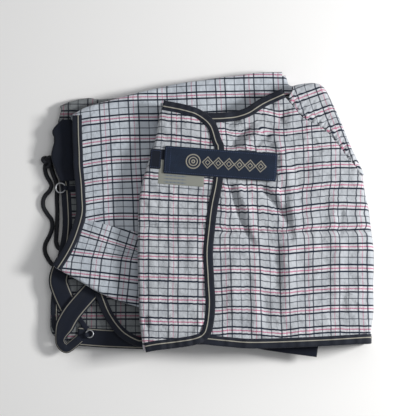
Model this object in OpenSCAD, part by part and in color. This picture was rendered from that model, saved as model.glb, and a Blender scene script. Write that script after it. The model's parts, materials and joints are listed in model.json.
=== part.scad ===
// Horse fly sheet, folded for storage: body at the bottom, chest section folded over on top.
// +X points to the shoulder fold, +Y to the spine fold, +Z up. The pile rests on Z = 0.

/* [Folded pile] */
// Length of the folded pile, from the rear edge to the shoulder fold
pile_l = 586; // [480:1:720]
// Depth of the folded pile, from the hems to the spine fold
pile_w = 520; // [430:1:640]
// Clear air between layers that move apart
layer_gap = 0.3; // [0.2:0.1:0.6]

/* [Layers] */
// Thickness of the folded left side, the lowest layer
left_side_t = 18; // [10:0.5:30]
// Thickness of the turned-in lower plies of the right side
right_inner_t = 10; // [8:0.5:20]
// Thickness of the upper plies of the right side
right_outer_t = 11.7; // [6:0.1:20]
// Thickness of the left shoulder, the lower layer of the chest section
shoulder_t = 13.7; // [8:0.1:24]
// Thickness of the right chest, the upper layer of the chest section
right_chest_t = 13.7; // [8:0.1:24]
// Thickness of the left chest flap
left_chest_t = 6; // [4:0.5:12]
// Length of the chest section, from its left fold to the shoulder fold
chest_l = 419; // [380:1:460]

/* [Edge binding] */
// Width of the binding tape on every cut edge
binding_w = 17; // [10:0.5:24]
// Height of the neck binding that stands on the right chest
neck_binding_h = 8; // [4:0.5:13]

/* [Tail flap] */
// Width of the tail flap that lies folded behind the right side
tail_flap_w = 22; // [10:1:26]

/* [Closure strap] */
// Length of the chest closure strap
strap_l = 202; // [180:1:250]
// Width of the chest closure strap
strap_w = 50; // [40:1:60]
// Thickness of the chest closure strap
strap_t = 3; // [2:0.1:5]
// Turn of the strap away from the X axis, in degrees
strap_turn = -4.3; // [-8:0.1:8]
// Length of the hook tape and of the loop tape under the strap's end
tape_l = 48; // [30:1:60]
// Thickness of the loop tape on the right chest
tape_t = 3; // [2:0.1:4]
// Length of the woven badge on the strap
badge_l = 150; // [80:1:160]
// Width of the woven badge on the strap
badge_w = 28; // [15:1:34]
// Thickness of the woven badge
badge_t = 0.6; // [0.4:0.1:1]
// Length of the base patch that the strap is sewn to
base_l = 20; // [15:1:30]
// Thickness of the base patch
base_t = 1.5; // [1:0.1:2.5]
// Length of the care label
label_l = 82; // [50:1:100]
// Width of the care label
label_w = 44; // [30:1:50]
// Thickness of the care label
label_t = 1; // [0.6:0.1:2]

/* [Webbing] */
// Width of the leg straps
leg_strap_w = 32; // [25:1:40]
// Thickness of the leg straps
leg_strap_t = 3; // [2:0.1:4]
// Width of the belly strap
belly_strap_w = 50; // [40:1:55]
// Thickness of the belly strap
belly_strap_t = 4; // [2:0.1:6]

/* [Rings] */
// Radius of the tail ring, to the middle of its wire
tail_ring_r = 8.8; // [7:0.1:14]
// Radius of the leg strap ring, to the middle of its wire
strap_ring_r = 6.5; // [6:0.1:10]
// Radius of the ring wire
ring_wire_r = 1.2; // [0.8:0.1:1.5]
// Width of the tape loop that holds a ring
ring_tab_w = 8; // [6:0.5:10]
// Length of the tape tab that holds a ring
ring_tab_l = 20; // [14:1:30]
// Width of the leg strap's turned-back end
leg_return_w = 18; // [12:1:24]
// Thickness of the ring tab tape
ring_tab_t = 1.4; // [1:0.1:2]
// Air between the ring wire and its tape loop
ring_play = 0.3; // [0.2:0.1:0.6]

/* [Tail cord] */
// Diameter of the tail cord
cord_d = 8; // [5:0.5:10]
// Diameter of the knot
knot_d = 25; // [20:1:32]
// Height of the knot, which is pressed flat on the floor
knot_h = 17; // [12:1:24]

/* [Hidden] */

plaid_colour = "#cfd4da";
plaid_shade_colour = "#b9bfc6";
navy_colour = "#131c33";
strap_colour = "#1d2c4e";
metal_colour = "#8d9096";

// Edges of the pile
rear_x = -pile_l / 2;
front_x = pile_l / 2;
spine_y = pile_w / 2;
hem_y = -pile_w / 2;
chest_x = front_x - chest_l;

// Heights of the layers, from the floor up
right_inner_z = left_side_t + layer_gap;
right_outer_z = right_inner_z + right_inner_t;
body_top_z = right_outer_z + right_outer_t;
shoulder_z = body_top_z + layer_gap;
right_chest_z = shoulder_z + shoulder_t;
chest_top_z = right_chest_z + right_chest_t;
left_chest_z = chest_top_z + layer_gap;
flap_top_z = left_chest_z + left_chest_t;
strap_z = flap_top_z + layer_gap;
strap_top_z = strap_z + strap_t;

// Points moved sideways from a line of points, to its left where d is positive
function unit(v) = v / norm(v);
function left_of(p, q) = let (u = unit(q - p)) [-u[1], u[0]];
function normal_at(pts, i) =
    let (a = i > 0 ? left_of(pts[i - 1], pts[i]) : left_of(pts[0], pts[1]),
         b = i < len(pts) - 1 ? left_of(pts[i], pts[i + 1]) : a,
         m = unit(a + b))
    m / max(0.7, m * a);
function shifted(pts, d) = [for (i = [0:len(pts) - 1]) pts[i] + d * normal_at(pts, i)];
function reversed(pts) = [for (i = [len(pts) - 1:-1:0]) pts[i]];

// A band of cloth tape that follows a line, from d0 to d1 on its left
module band(pts, d0, d1, z, h) {
    translate([0, 0, z])
        linear_extrude(h)
            polygon(concat(shifted(pts, d0), reversed(shifted(pts, d1))));
}

// A flat soft layer with the given outline
module layer(pts, z, h) {
    translate([0, 0, z]) linear_extrude(h) polygon(pts);
}

// Rear edge of the left side, from its lower corner up to the tail
left_rear_edge = [
    [rear_x + 32, hem_y + 40], [rear_x + 9, hem_y + 56], [rear_x + 9, hem_y + 120],
    [rear_x + 18, -80], [rear_x + 26, -40], [rear_x + 27, 0], [rear_x + 23, 50],
    [rear_x + 13, 100], [rear_x + 10, spine_y - 118]
];
left_side_edge_rest = [
    [rear_x + 28, spine_y - 60], [rear_x + 43, spine_y - 52], [rear_x + 73, spine_y - 46],
    [rear_x + 113, spine_y - 48], [0, spine_y - 24], [front_x - 160, spine_y - 12],
    [front_x - 93, spine_y - 36], [front_x - 44, spine_y - 132], [front_x - 13, spine_y - 226],
    [front_x - 4, -60], [front_x - 4, hem_y + 26], [rear_x + 75, hem_y + 24]
];

// Rear edge of the right side's upper plies, down to the leg strap corner
right_rear_edge = [
    [rear_x + 12, hem_y + 167], [rear_x + 32, hem_y + 200], [rear_x + 51, -12], [rear_x + 53, 30],
    [rear_x + 48, 96], [rear_x + 45, spine_y - 82]
];
right_outer_rest = [
    [rear_x + 75, spine_y - 64], [rear_x + 118, spine_y - 52], [rear_x + 203, spine_y - 30],
    [front_x - 293, spine_y - 14], [front_x - 209, spine_y - 3], [front_x - 163, spine_y],
    [front_x - 146, spine_y - 9], [front_x - 141, spine_y - 30], [front_x - 94, spine_y - 34],
    [front_x - 43, spine_y - 130], [front_x - 12, spine_y - 225], [front_x - 2, -60],
    [front_x, hem_y + 110], [front_x - 3, hem_y + 28], [chest_x + 40, hem_y + 28],
    [chest_x + 10, hem_y + 92], [rear_x + 129, hem_y + 107], [rear_x + 91, hem_y + 123],
    [rear_x + 55, hem_y + 145]
];

// Outer edge of the turned-in tail flap
tail_flap_edge = [
    [rear_x + 27, spine_y - 150], [rear_x + 27, spine_y - 124], [rear_x + 34, spine_y - 90],
    [rear_x + 50, spine_y - 74], [rear_x + 68, spine_y - 67]
];

// Curved hem corner of the right side's inner plies
right_inner_edge = [
    [rear_x + 178, hem_y + 21], [rear_x + 160, hem_y + 23], [rear_x + 129, hem_y + 41],
    [rear_x + 104, hem_y + 75], [rear_x + 86, hem_y + 118]
];
right_inner_rest = [
    [rear_x + 80, spine_y - 120], [rear_x + 118, spine_y - 58], [0, spine_y - 26],
    [front_x - 160, spine_y - 14], [front_x - 95, spine_y - 38], [front_x - 46, spine_y - 134],
    [front_x - 15, spine_y - 228], [front_x - 5, -60], [front_x - 5, hem_y + 27]
];

// Left fold of the chest section, from the hem up to the neck
chest_fold = [
    [chest_x + 11, hem_y + 24], [chest_x + 2, hem_y + 97], [chest_x, -33], [chest_x + 5, 44],
    [chest_x + 29, spine_y - 136], [chest_x + 40, spine_y - 64]
];

// Neck edge of the right chest, from the gathered point down to the overlap
right_neck_edge = [
    [front_x - 163, spine_y - 38], [front_x - 201, spine_y - 55], [front_x - 232, spine_y - 73],
    [front_x - 271, spine_y - 81], [front_x - 300, spine_y - 80]
];

// Seam between the right chest and the shoulder gusset, from the fold up to the neck
gusset_seam = [
    [front_x - 22, spine_y - 194], [front_x - 28, spine_y - 182], [front_x - 43, spine_y - 163],
    [front_x - 64, spine_y - 136], [front_x - 90, spine_y - 108], [front_x - 124, spine_y - 90],
    [front_x - 152, spine_y - 56]
];
gusset_outer = [
    [front_x - 142, spine_y - 31], [front_x - 124, spine_y - 27], [front_x - 93, spine_y - 25],
    [front_x - 82, spine_y - 34], [front_x - 64, spine_y - 77], [front_x - 43, spine_y - 129],
    [front_x - 23, spine_y - 176], [front_x - 19, spine_y - 194]
];

// Hem of the right chest, from the overlap to the shoulder fold
right_hem_edge = [
    [chest_x + 99, hem_y + 30], [front_x - 210, hem_y + 18], [front_x - 95, hem_y + 22],
    [front_x - 3, hem_y + 28]
];
fold_edge = [
    [front_x, hem_y + 114], [front_x, hem_y + 184], [front_x - 5, -15],
    [front_x - 12, spine_y - 223]
];

// Neck, front and hem edge of the left chest, walked with the cloth on the right
left_front_edge = [
    [chest_x + 45, spine_y - 59], [chest_x + 88, spine_y - 68], [chest_x + 113, spine_y - 77],
    [chest_x + 137, spine_y - 99], [chest_x + 148, spine_y - 129], [chest_x + 153, spine_y - 145],
    [chest_x + 151, 59], [chest_x + 142, 10], [chest_x + 137, -28], [chest_x + 133, -76],
    [chest_x + 135, hem_y + 141], [chest_x + 137, hem_y + 97], [chest_x + 133, hem_y + 54],
    [chest_x + 122, hem_y + 33], [chest_x + 96, hem_y + 22], [chest_x + 36, hem_y + 14],
    [chest_x + 16, hem_y + 10]
];

// The closure strap's own frame: origin at its sewn end, X along the strap
strap_at = [chest_x + 45.5, spine_y - 166];
module in_strap_frame(z) {
    translate([strap_at[0], strap_at[1], z]) rotate([0, 0, strap_turn]) children();
}
strap_corner_r = 3;
base_gap = strap_t + badge_t + 1.4;
tape_end = 5;
tape_side = 4;
hook_z = chest_top_z + tape_t + layer_gap;
badge_start = 38;
base_inset = 7;
label_start = -8;
label_drop = 44;
label_clear = 0.1;
cut_over = 1;

// A flat strip from x0 to x0 + l, centred on Y, with rounded corners made of true cylinders
module strip(x0, l, w, h, r) {
    translate([x0, -w / 2 + r, 0]) cube([l, w - 2 * r, h]);
    translate([x0 + r, -w / 2, 0]) cube([l - 2 * r, w, h]);
    for (x = [x0 + r, x0 + l - r], y = [-w / 2 + r, w / 2 - r])
        translate([x, y, 0]) cylinder(r = r, h = h, $fn = 32);
}

// Leg straps: middle lines, from inside the pile outwards
leg_strap_left_line = [
    [rear_x + 14, hem_y + 185], [rear_x + 20, hem_y + 160], [rear_x + 32, hem_y + 128],
    [rear_x + 52, hem_y + 90]
];
leg_strap_right_line = [
    [rear_x + 100, hem_y + 142], [rear_x + 72, hem_y + 114], [rear_x + 42, hem_y + 82],
    [rear_x + 25, hem_y + 56], [rear_x + 19, hem_y + 36]
];
leg_turn_r = leg_strap_w / 2;
leg_turn_at = [rear_x + 29, hem_y + 25];
leg_return_lead = 8;
leg_upper_z = left_side_t + layer_gap + leg_strap_t + layer_gap;

// Belly strap: middle line of the end that shows past the hem
belly_line = [[chest_x + 120, hem_y + 62], [front_x - 190, hem_y + 40], [front_x - 97, hem_y + 27]];
belly_lift = 3;
belly_z = right_outer_z + belly_lift;

// Rings: centre of each ring, and the way its tape tab leaves it. The tape's loop clears the
// inside of the wire, which curves away from the tape's middle
tail_ring_at = [rear_x + 24, 48];
tail_ring_turn = 0;
strap_ring_at = [rear_x + 78, hem_y + 44];
strap_ring_turn = 203;
strap_tab_dir = [cos(strap_ring_turn), sin(strap_ring_turn)];
strap_tab_end = strap_ring_at + (strap_ring_r + ring_tab_l) * strap_tab_dir;
leg_return_line = [leg_turn_at, strap_tab_end + leg_return_lead * strap_tab_dir, strap_tab_end];
function loop_r(ring_r) =
    ring_r - sqrt(pow(ring_r - ring_wire_r, 2) - pow(ring_tab_w / 2, 2)) + ring_play;
ring_tape_w = 10;
ring_tape_line = [strap_ring_at + [-14, 20], strap_ring_at + [-6, 10]];
function ring_z(ring_r) = left_side_t + layer_gap + loop_r(ring_r) + ring_tab_t;

module ring(ring_r, at, turn) {
    translate([at[0], at[1], ring_z(ring_r)])
        rotate([0, 0, turn])
            rotate_extrude($fn = 64) translate([ring_r, 0]) circle(r = ring_wire_r, $fn = 24);
}

// Tape folded round the ring's wire, with its two plies sewn together behind it
module ring_tab(ring_r, at, turn) {
    bore = loop_r(ring_r);
    translate([at[0], at[1], ring_z(ring_r)])
        rotate([0, 0, turn])
            translate([ring_r, ring_tab_w / 2, 0])
                rotate([90, 0, 0])
                    linear_extrude(ring_tab_w)
                        difference() {
                            union() {
                                circle(r = bore + ring_tab_t, $fn = 48);
                                translate([0, -bore - ring_tab_t])
                                    square([ring_tab_l, 2 * ring_tab_t]);
                            }
                            circle(r = bore, $fn = 48);
                        }
}

// Tail cord: two runs of one doubled cord, from the rear edge of the pile to the knot
cord_inner_line = [
    [-266, -64, 9], [-274, -59, 6], [-278, -48, 4], [-277, -30, 4], [-276, -10, 4], [-276, 10, 4],
    [-277, 30, 4], [-279, 46, 4], [-283, 62, 4], [-287, 74, 4], [-288, 84, 4], [-289, 92, 5]
];
cord_outer_line = [
    [-298, 92, 5], [-299, 82, 4], [-297, 72, 4], [-294, 62, 4], [-292, 53, 4], [-295, 43, 4],
    [-300, 33, 4], [-302, 20, 4], [-301, 6, 4], [-297, -8, 4], [-291, -22, 4], [-288, -36, 4],
    [-290, -50, 4], [-291, -64, 4], [-289, -78, 4], [-284, -89, 6], [-274, -94, 9]
];
knot_at = [-293.5, 98];
cord_sides = 10;
cord_steps = 3;

// A point on the smooth curve through the route, and its direction there
function at_or(pts, i) = pts[max(0, min(len(pts) - 1, i))];
function curve(p0, p1, p2, p3, t) = 0.5 * (2 * p1 + (p2 - p0) * t
    + (2 * p0 - 5 * p1 + 4 * p2 - p3) * t * t + (3 * p1 - p0 - 3 * p2 + p3) * t * t * t);
function smooth_line(pts, n) = [
    for (i = [0:len(pts) - 2], k = [0:n - 1])
        curve(at_or(pts, i - 1), pts[i], pts[i + 1], at_or(pts, i + 2), k / n),
    pts[len(pts) - 1]
];
function ring_points(p, dir, r, n) =
    let (d = unit(dir), s = unit(cross(d, [0, 0, 1])), u = cross(s, d))
    [for (k = [0:n - 1]) p + r * (cos(360 * k / n) * s + sin(360 * k / n) * u)];

// A round cord swept along its route as one closed tube
module cord_tube(route, r) {
    line = smooth_line(route, cord_steps);
    m = len(line);
    n = cord_sides;
    points = [for (i = [0:m - 1]) each ring_points(
        line[i], at_or(line, i + 1) - at_or(line, i - 1), r, n)];
    sides = [for (i = [0:m - 2], k = [0:n - 1])
        [i * n + k, i * n + (k + 1) % n, (i + 1) * n + (k + 1) % n, (i + 1) * n + k]];
    polyhedron(points, concat(
        [[for (k = [n - 1:-1:0]) k]], sides, [[for (k = [0:n - 1]) (m - 1) * n + k]]));
}

// Body of the sheet

module left_side_panel() {
    color(plaid_shade_colour)
        layer(concat(shifted(left_rear_edge, -binding_w), left_side_edge_rest), 0, left_side_t);
}

module left_side_binding() {
    color(navy_colour) band(left_rear_edge, 0, -binding_w, 0, left_side_t);
}

module right_side_panel() {
    color(plaid_colour) {
        difference() {
            layer(concat(shifted(right_rear_edge, -binding_w), right_outer_rest),
                right_outer_z, right_outer_t);
            belly_strap_body(layer_gap);
        }
        difference() {
            layer(concat(shifted(right_inner_edge, -binding_w), right_inner_rest),
                right_inner_z, right_inner_t);
            leg_strap_right_run(layer_gap);
        }
    }
}

module right_side_binding() {
    color(navy_colour) {
        band(right_rear_edge, 0, -binding_w, right_outer_z, right_outer_t);
        difference() {
            band(right_inner_edge, 0, -binding_w, right_inner_z, right_inner_t);
            leg_strap_right_run(layer_gap);
        }
    }
}

// The tail flap is turned in: it lies on the left side's tail corner, behind the right side
module tail_flap() {
    color(navy_colour)
        band(tail_flap_edge, 0, -tail_flap_w, right_inner_z, right_inner_t - layer_gap);
}

module belly_strap_body(clear) {
    band(belly_line, belly_strap_w / 2 + clear, -belly_strap_w / 2 - clear,
        belly_z - clear, belly_strap_t + 2 * clear);
}

module belly_strap() {
    color(navy_colour) belly_strap_body(0);
}

module leg_strap_left() {
    color(strap_colour)
        band(leg_strap_left_line, leg_strap_w / 2, -leg_strap_w / 2,
            left_side_t + layer_gap, leg_strap_t);
}

// The right leg strap comes out between the inner plies and turns back under itself at its end
module leg_strap_right_run(clear) {
    band(leg_strap_right_line, leg_strap_w / 2 + clear, -leg_strap_w / 2 - clear,
        leg_upper_z - clear, leg_strap_t + 2 * clear);
}

module leg_strap_right() {
    color(strap_colour) {
        leg_strap_right_run(0);
        translate([leg_turn_at[0], leg_turn_at[1], left_side_t + layer_gap])
            cylinder(r = leg_turn_r, h = 2 * leg_strap_t + layer_gap, $fn = 48);
        band(leg_return_line, leg_return_w / 2, -leg_return_w / 2,
            left_side_t + layer_gap, leg_strap_t);
    }
}

module strap_ring_tab() {
    color(strap_colour) ring_tab(strap_ring_r, strap_ring_at, strap_ring_turn);
}

module strap_ring() {
    color(metal_colour) ring(strap_ring_r, strap_ring_at, strap_ring_turn);
}

// The short tape that lies under the strap ring and runs on below the hem
module strap_ring_tape() {
    color(strap_colour)
        band(ring_tape_line, ring_tape_w / 2, -ring_tape_w / 2, left_side_t, ring_tab_t);
}

module tail_ring_tab() {
    color(navy_colour) ring_tab(tail_ring_r, tail_ring_at, tail_ring_turn);
}

module tail_ring() {
    color(metal_colour) ring(tail_ring_r, tail_ring_at, tail_ring_turn);
}

module tail_cord_inner() {
    color("#101014") cord_tube(cord_inner_line, cord_d / 2);
}

module tail_cord_outer() {
    color("#101014") cord_tube(cord_outer_line, cord_d / 2);
}

module tail_cord_knot() {
    color("#101014")
        translate([knot_at[0], knot_at[1], knot_h / 2])
            resize([knot_d, knot_d, knot_h]) sphere(d = knot_d, $fn = 32);
}

// Chest section, which turns over at the shoulder fold

module left_shoulder_panel() {
    color(plaid_shade_colour)
        layer(concat(reversed(chest_fold), [[front_x - 4, hem_y + 30]], fold_edge,
            reversed(gusset_outer), right_neck_edge), shoulder_z, shoulder_t);
}

module right_chest_panel() {
    color(plaid_colour) {
        layer(concat(reversed(shifted(right_hem_edge, binding_w)), [
            [chest_x + 40, hem_y + 48], [chest_x + 40, spine_y - 120], [chest_x + 90, spine_y - 96]
        ], reversed(shifted(right_neck_edge, binding_w)), reversed(gusset_seam),
            reversed(fold_edge)), right_chest_z, right_chest_t);
    }
}

module right_shoulder_gusset() {
    color(plaid_colour)
        layer(concat(reversed(gusset_outer), reversed(gusset_seam)), right_chest_z, right_chest_t);
}

module right_neck_binding() {
    color(navy_colour)
        band(right_neck_edge, 0, binding_w, chest_top_z - neck_binding_h, neck_binding_h);
}

module right_hem_binding() {
    color(navy_colour) band(right_hem_edge, 0, binding_w, right_chest_z, right_chest_t);
}

module loop_tape() {
    color("#0d0f16")
        in_strap_frame(chest_top_z)
            strip(strap_l - tape_end - tape_l, tape_l, strap_w - 2 * tape_side, tape_t,
                strap_corner_r);
}

// Chest flap, which opens at its left fold

module left_chest_panel() {
    color(plaid_colour)
        difference() {
            layer(concat(reversed(chest_fold), reversed(shifted(left_front_edge, -binding_w))),
                left_chest_z, left_chest_t);
            in_strap_frame(flap_top_z - label_t)
                translate([label_start - label_clear, -label_drop - label_clear, 0])
                    cube([label_l + 2 * label_clear, label_w + 2 * label_clear, label_t + cut_over]);
        }
}

module left_front_binding() {
    color(navy_colour) band(left_front_edge, 0, -binding_w, left_chest_z, left_chest_t);
}

module strap_base() {
    color(navy_colour)
        in_strap_frame(flap_top_z)
            strip(-base_gap - base_l, base_l, strap_w - 2 * base_inset, base_t, strap_corner_r);
}

module care_label() {
    color("#c9ced3")
        in_strap_frame(flap_top_z - label_t)
            translate([label_start, -label_drop, 0]) cube([label_l, label_w, label_t]);
}

// Closure strap, which peels up from its sewn end

module closure_strap() {
    color(strap_colour) in_strap_frame(strap_z) strip(0, strap_l, strap_w, strap_t, strap_corner_r);
}

module hook_tape() {
    color("#0d0f16")
        in_strap_frame(hook_z)
            strip(strap_l - tape_end - tape_l, tape_l, strap_w - 2 * tape_side,
                strap_z - hook_z, strap_corner_r);
}

module strap_badge() {
    color("#9a968a")
        in_strap_frame(strap_top_z) strip(badge_start, badge_l, badge_w, badge_t, strap_corner_r);
}

left_side_panel();
right_side_panel();
tail_flap();
left_side_binding();
right_side_binding();
belly_strap();
leg_strap_left();
leg_strap_right();
strap_ring_tab();
strap_ring_tape();
tail_ring_tab();
tail_cord_inner();
tail_cord_outer();
tail_cord_knot();
left_shoulder_panel();
right_chest_panel();
right_shoulder_gusset();
right_neck_binding();
right_hem_binding();
loop_tape();
left_chest_panel();
left_front_binding();
strap_base();
care_label();
closure_strap();
hook_tape();
strap_badge();
strap_ring();
tail_ring();
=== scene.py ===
import json
import math

import bpy
import numpy as np
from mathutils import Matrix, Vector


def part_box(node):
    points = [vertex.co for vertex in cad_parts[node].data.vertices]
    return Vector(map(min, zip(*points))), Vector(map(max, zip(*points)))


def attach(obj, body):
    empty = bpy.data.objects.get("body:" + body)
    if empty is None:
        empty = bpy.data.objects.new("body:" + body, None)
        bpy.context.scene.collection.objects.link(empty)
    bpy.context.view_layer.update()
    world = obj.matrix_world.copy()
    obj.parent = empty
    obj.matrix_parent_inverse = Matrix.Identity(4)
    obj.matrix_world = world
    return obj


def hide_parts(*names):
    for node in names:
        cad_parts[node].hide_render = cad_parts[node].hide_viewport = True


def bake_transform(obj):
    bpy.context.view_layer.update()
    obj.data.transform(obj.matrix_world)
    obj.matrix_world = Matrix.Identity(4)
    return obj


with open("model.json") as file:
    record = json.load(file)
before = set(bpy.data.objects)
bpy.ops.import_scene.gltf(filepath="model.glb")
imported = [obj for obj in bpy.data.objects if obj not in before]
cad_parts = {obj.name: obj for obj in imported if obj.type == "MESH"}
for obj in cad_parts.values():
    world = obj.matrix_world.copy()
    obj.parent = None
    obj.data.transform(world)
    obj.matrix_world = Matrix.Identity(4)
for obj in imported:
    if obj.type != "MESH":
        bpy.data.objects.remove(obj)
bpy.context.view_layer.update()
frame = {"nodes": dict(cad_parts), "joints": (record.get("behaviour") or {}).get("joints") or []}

bpy.ops.object.select_all(action="DESELECT")

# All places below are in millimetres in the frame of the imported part, and meshes are made in metres
mm = 0.001


def boxOf(node):
    low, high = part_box(node)
    return np.array(low) / mm, np.array(high) / mm


def levels(node):  # the heights of a node's underside and top
    low, high = boxOf(node)
    return low[2], high[2]


frontX, spineY = boxOf("right_side_panel")[1][:2]
rearX, hemY = -frontX, -spineY
chestX = boxOf("left_chest_panel")[0][0]
leftTopZ, bodyTopZ = levels("left_side_panel")[1], levels("right_side_panel")[1]
shoulderZ, chestTopZ = levels("left_shoulder_panel")[0], levels("right_chest_panel")[1]
innerZ, innerTopZ = levels("tail_flap")
flapZ, flapTopZ = levels("left_chest_panel")
strapZ, strapTopZ = levels("closure_strap")

strapJoint = next(j for j in frame["joints"] if j["name"] == "strap_peel")
strapAt = np.array(strapJoint["pos_m"][:2]) / mm
strapAlong = np.array([-strapJoint["axis"][1], strapJoint["axis"][0]])
strapAcross = np.array([-strapAlong[1], strapAlong[0]])

# Camera: straight over the pile, leaning back a little towards the hems
view = {"target": (-0.002, 0.0099, 0.04), "elevation": 85.0, "distance": 3.5, "wide": 0.749}


def makeCamera():
    data = bpy.data.cameras.new("camera")
    data.sensor_width = 36
    data.lens = data.sensor_width * view["distance"] / view["wide"]
    camera = bpy.data.objects.new("camera", data)
    lean = math.radians(view["elevation"])
    tx, ty, tz = view["target"]
    camera.location = (tx, ty - view["distance"] * math.cos(lean), tz + view["distance"] * math.sin(lean))
    camera.rotation_euler = (math.pi / 2 - lean, 0, 0)
    bpy.context.collection.objects.link(camera)
    bpy.context.scene.camera = camera


makeCamera()


# Shader helpers: a Value is a socket that takes part in Python expressions
class Value:
    def __init__(self, shader, socket):
        self.shader, self.socket = shader, socket

    def math(self, operation, *others, clamp=False):
        settings = {"operation": operation, "use_clamp": clamp}
        return self.shader.node("ShaderNodeMath", settings, [self, *others])

    def __add__(self, other):
        return self.math("ADD", other)

    def __sub__(self, other):
        return self.math("SUBTRACT", other)

    def __mul__(self, other):
        return self.math("MULTIPLY", other)

    def __truediv__(self, other):
        return self.math("DIVIDE", other)

    def __rsub__(self, other):
        return self.shader.node("ShaderNodeMath", {"operation": "SUBTRACT"}, [other, self])

    __radd__, __rmul__ = __add__, __mul__

    def wave(self, period):  # 0 to 1 and back once in each period
        return (self * (2 * math.pi / period)).math("SINE") * 0.5 + 0.5

    def near(self, pitch):  # distance to the nearest multiple of the pitch
        return self.math("PINGPONG", pitch / 2)

    def line(self, at, half, soft=0.35):  # 1 within half of the place, with a soft edge
        away = (self - at).math("ABSOLUTE")
        return ((half + soft - away) / (2 * soft)).math("ADD", 0, clamp=True)


class Shader:
    def __init__(self, name, **settings):
        self.material = bpy.data.materials.new(name)
        self.material.use_nodes = True
        self.tree = self.material.node_tree
        self.surface = self.tree.nodes["Principled BSDF"]
        for key, value in settings.items():
            self.surface.inputs[key.replace("_", " ")].default_value = value

    def node(self, kind, settings=None, values=None, out=0):
        made = self.tree.nodes.new(kind)
        for key, value in (settings or {}).items():
            setattr(made, key, value)
        pairs = values.items() if isinstance(values, dict) else enumerate(values or [])
        for key, value in pairs:
            if isinstance(value, Value):
                self.tree.links.new(value.socket, made.inputs[key])
            else:
                made.inputs[key].default_value = value
        return Value(self, made.outputs[out])

    def place(self, kind="Object"):
        if kind == "Object":
            return self.node("ShaderNodeTexCoord", out="Object")
        return self.node("ShaderNodeUVMap", {"uv_map": "cloth"})

    def parts(self, vector):
        split = self.node("ShaderNodeSeparateXYZ", None, [vector])
        return [Value(self, split.socket.node.outputs[k]) for k in range(3)]

    def noise(self, vector, scale, detail=3.0, rough=0.55):
        return self.node("ShaderNodeTexNoise", None,
                         {"Vector": vector, "Scale": scale, "Detail": detail, "Roughness": rough})

    def blend(self, share, low, high, how="MIX"):
        return self.node("ShaderNodeMix", {"data_type": "RGBA", "blend_type": how},
                         {0: share, 6: low, 7: high}, out=2)

    def feed(self, **links):
        for key, value in links.items():
            self.tree.links.new(value.socket, self.surface.inputs[key.replace("_", " ")])

    def bump(self, height, strength, distance):
        self.feed(Normal=self.node("ShaderNodeBump", None,
                                   {"Height": height, "Strength": strength, "Distance": distance}))


def tint(text):  # hex colour to linear
    parts = [int(text[k:k + 2], 16) / 255 for k in (1, 3, 5)]
    return tuple(c / 12.92 if c <= 0.04045 else ((c + 0.055) / 1.055) ** 2.4 for c in parts) + (1.0,)


plaid = {"across": 53.0, "down": 36.7, "pairAcross": 8.8, "pairDown": 5.9, "thinLine": 0.8,
         "downLine": 1.3, "rowLine": 1.5, "ink": "#101d30", "pink": "#b03c6c", "patch": "#b3b7bf"}
# the crease settings give a painted shade line along the packing crease, and its ink is the painted shade colour
crease = {"flapY": -22, "chestY": -34, "splitX": 12, "half": 0.4, "soft": 1.2, "ink": "#2e2a33",
          "dark": 0.75}


def makePlaid(name, ground, square, shade=1.0, dark=0.9, creased=False):
    s = Shader(name, Roughness=0.82, Specular_IOR_Level=0.25, Sheen_Weight=0.15)
    u, v, _ = s.parts(s.place("cloth"))
    across, down = u.near(plaid["across"]), v.near(plaid["down"])
    thread = (u.wave(2.2) + v.wave(1.6)) * 0.5
    column = across.line(0, plaid["pairAcross"], 0.6)
    row = down.line(0, plaid["pairDown"], 0.6)
    colour = s.blend(column * 0.25 + row * 0.75, tint(square), tint(ground))
    patchy = s.noise(s.place(), 28.0, 4.0)
    colour = s.blend(patchy * 0.8, colour, tint(plaid["patch"]), "MULTIPLY")
    navy, pink = tint(plaid["ink"]), tint(plaid["pink"])
    pinkDown = across.line(0, 0.8, 0.5) * (0.35 + 0.4 * v.wave(3.4))
    pinkRow = down.line(0, 1.1, 0.5) * (0.6 + 0.3 * u.wave(3.4))
    colour = s.blend(pinkDown, colour, pink)
    colour = s.blend(pinkRow, colour, pink)
    thinDown = across.line(plaid["across"] / 2, plaid["thinLine"]) * dark * 0.8
    thickDown = across.line(plaid["pairAcross"], plaid["downLine"]) * dark
    thinRow = down.line(plaid["down"] / 2, plaid["thinLine"]) * 0.85
    thickRow = down.line(plaid["pairDown"], plaid["rowLine"])
    for mask in (thinDown, thickDown, thinRow, thickRow):
        colour = s.blend(mask, colour, navy)
    # painted shade: the whole plaid is darkened for plies that lie in shadow
    if shade < 1:
        colour = s.blend(1.0, colour, (shade, shade, shade, 1), "MULTIPLY")
    if creased:
        # painted shade: a dark dashed line along the packing crease, which lies lower on the right chest than on
        # the flap
        px, py, _ = s.parts(s.place())
        onChest = px.math("GREATER_THAN", crease["splitX"] * mm)
        off = py - crease["flapY"] * mm + onChest * ((crease["flapY"] - crease["chestY"]) * mm)
        wearAndShadeDashes = s.noise(s.place(), 160.0, 2.0).math("MULTIPLY_ADD", 2.4, -0.6, clamp=True)
        groove = off.line(0, crease["half"] * mm, crease["soft"] * mm) * wearAndShadeDashes
        colour = s.blend(groove * crease["dark"], colour, tint(crease["ink"]))
    s.feed(Base_Color=colour, Roughness=0.78 + 0.1 * patchy)
    crinkle = s.noise(s.place(), 95.0, 5.0, 0.6)
    s.bump(crinkle + thread * 0.08, 1.0, 0.0036)
    return s.material


tapeLook = {"piping": 10.85, "pipingHalf": 0.85, "hem": 16.0}


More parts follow.
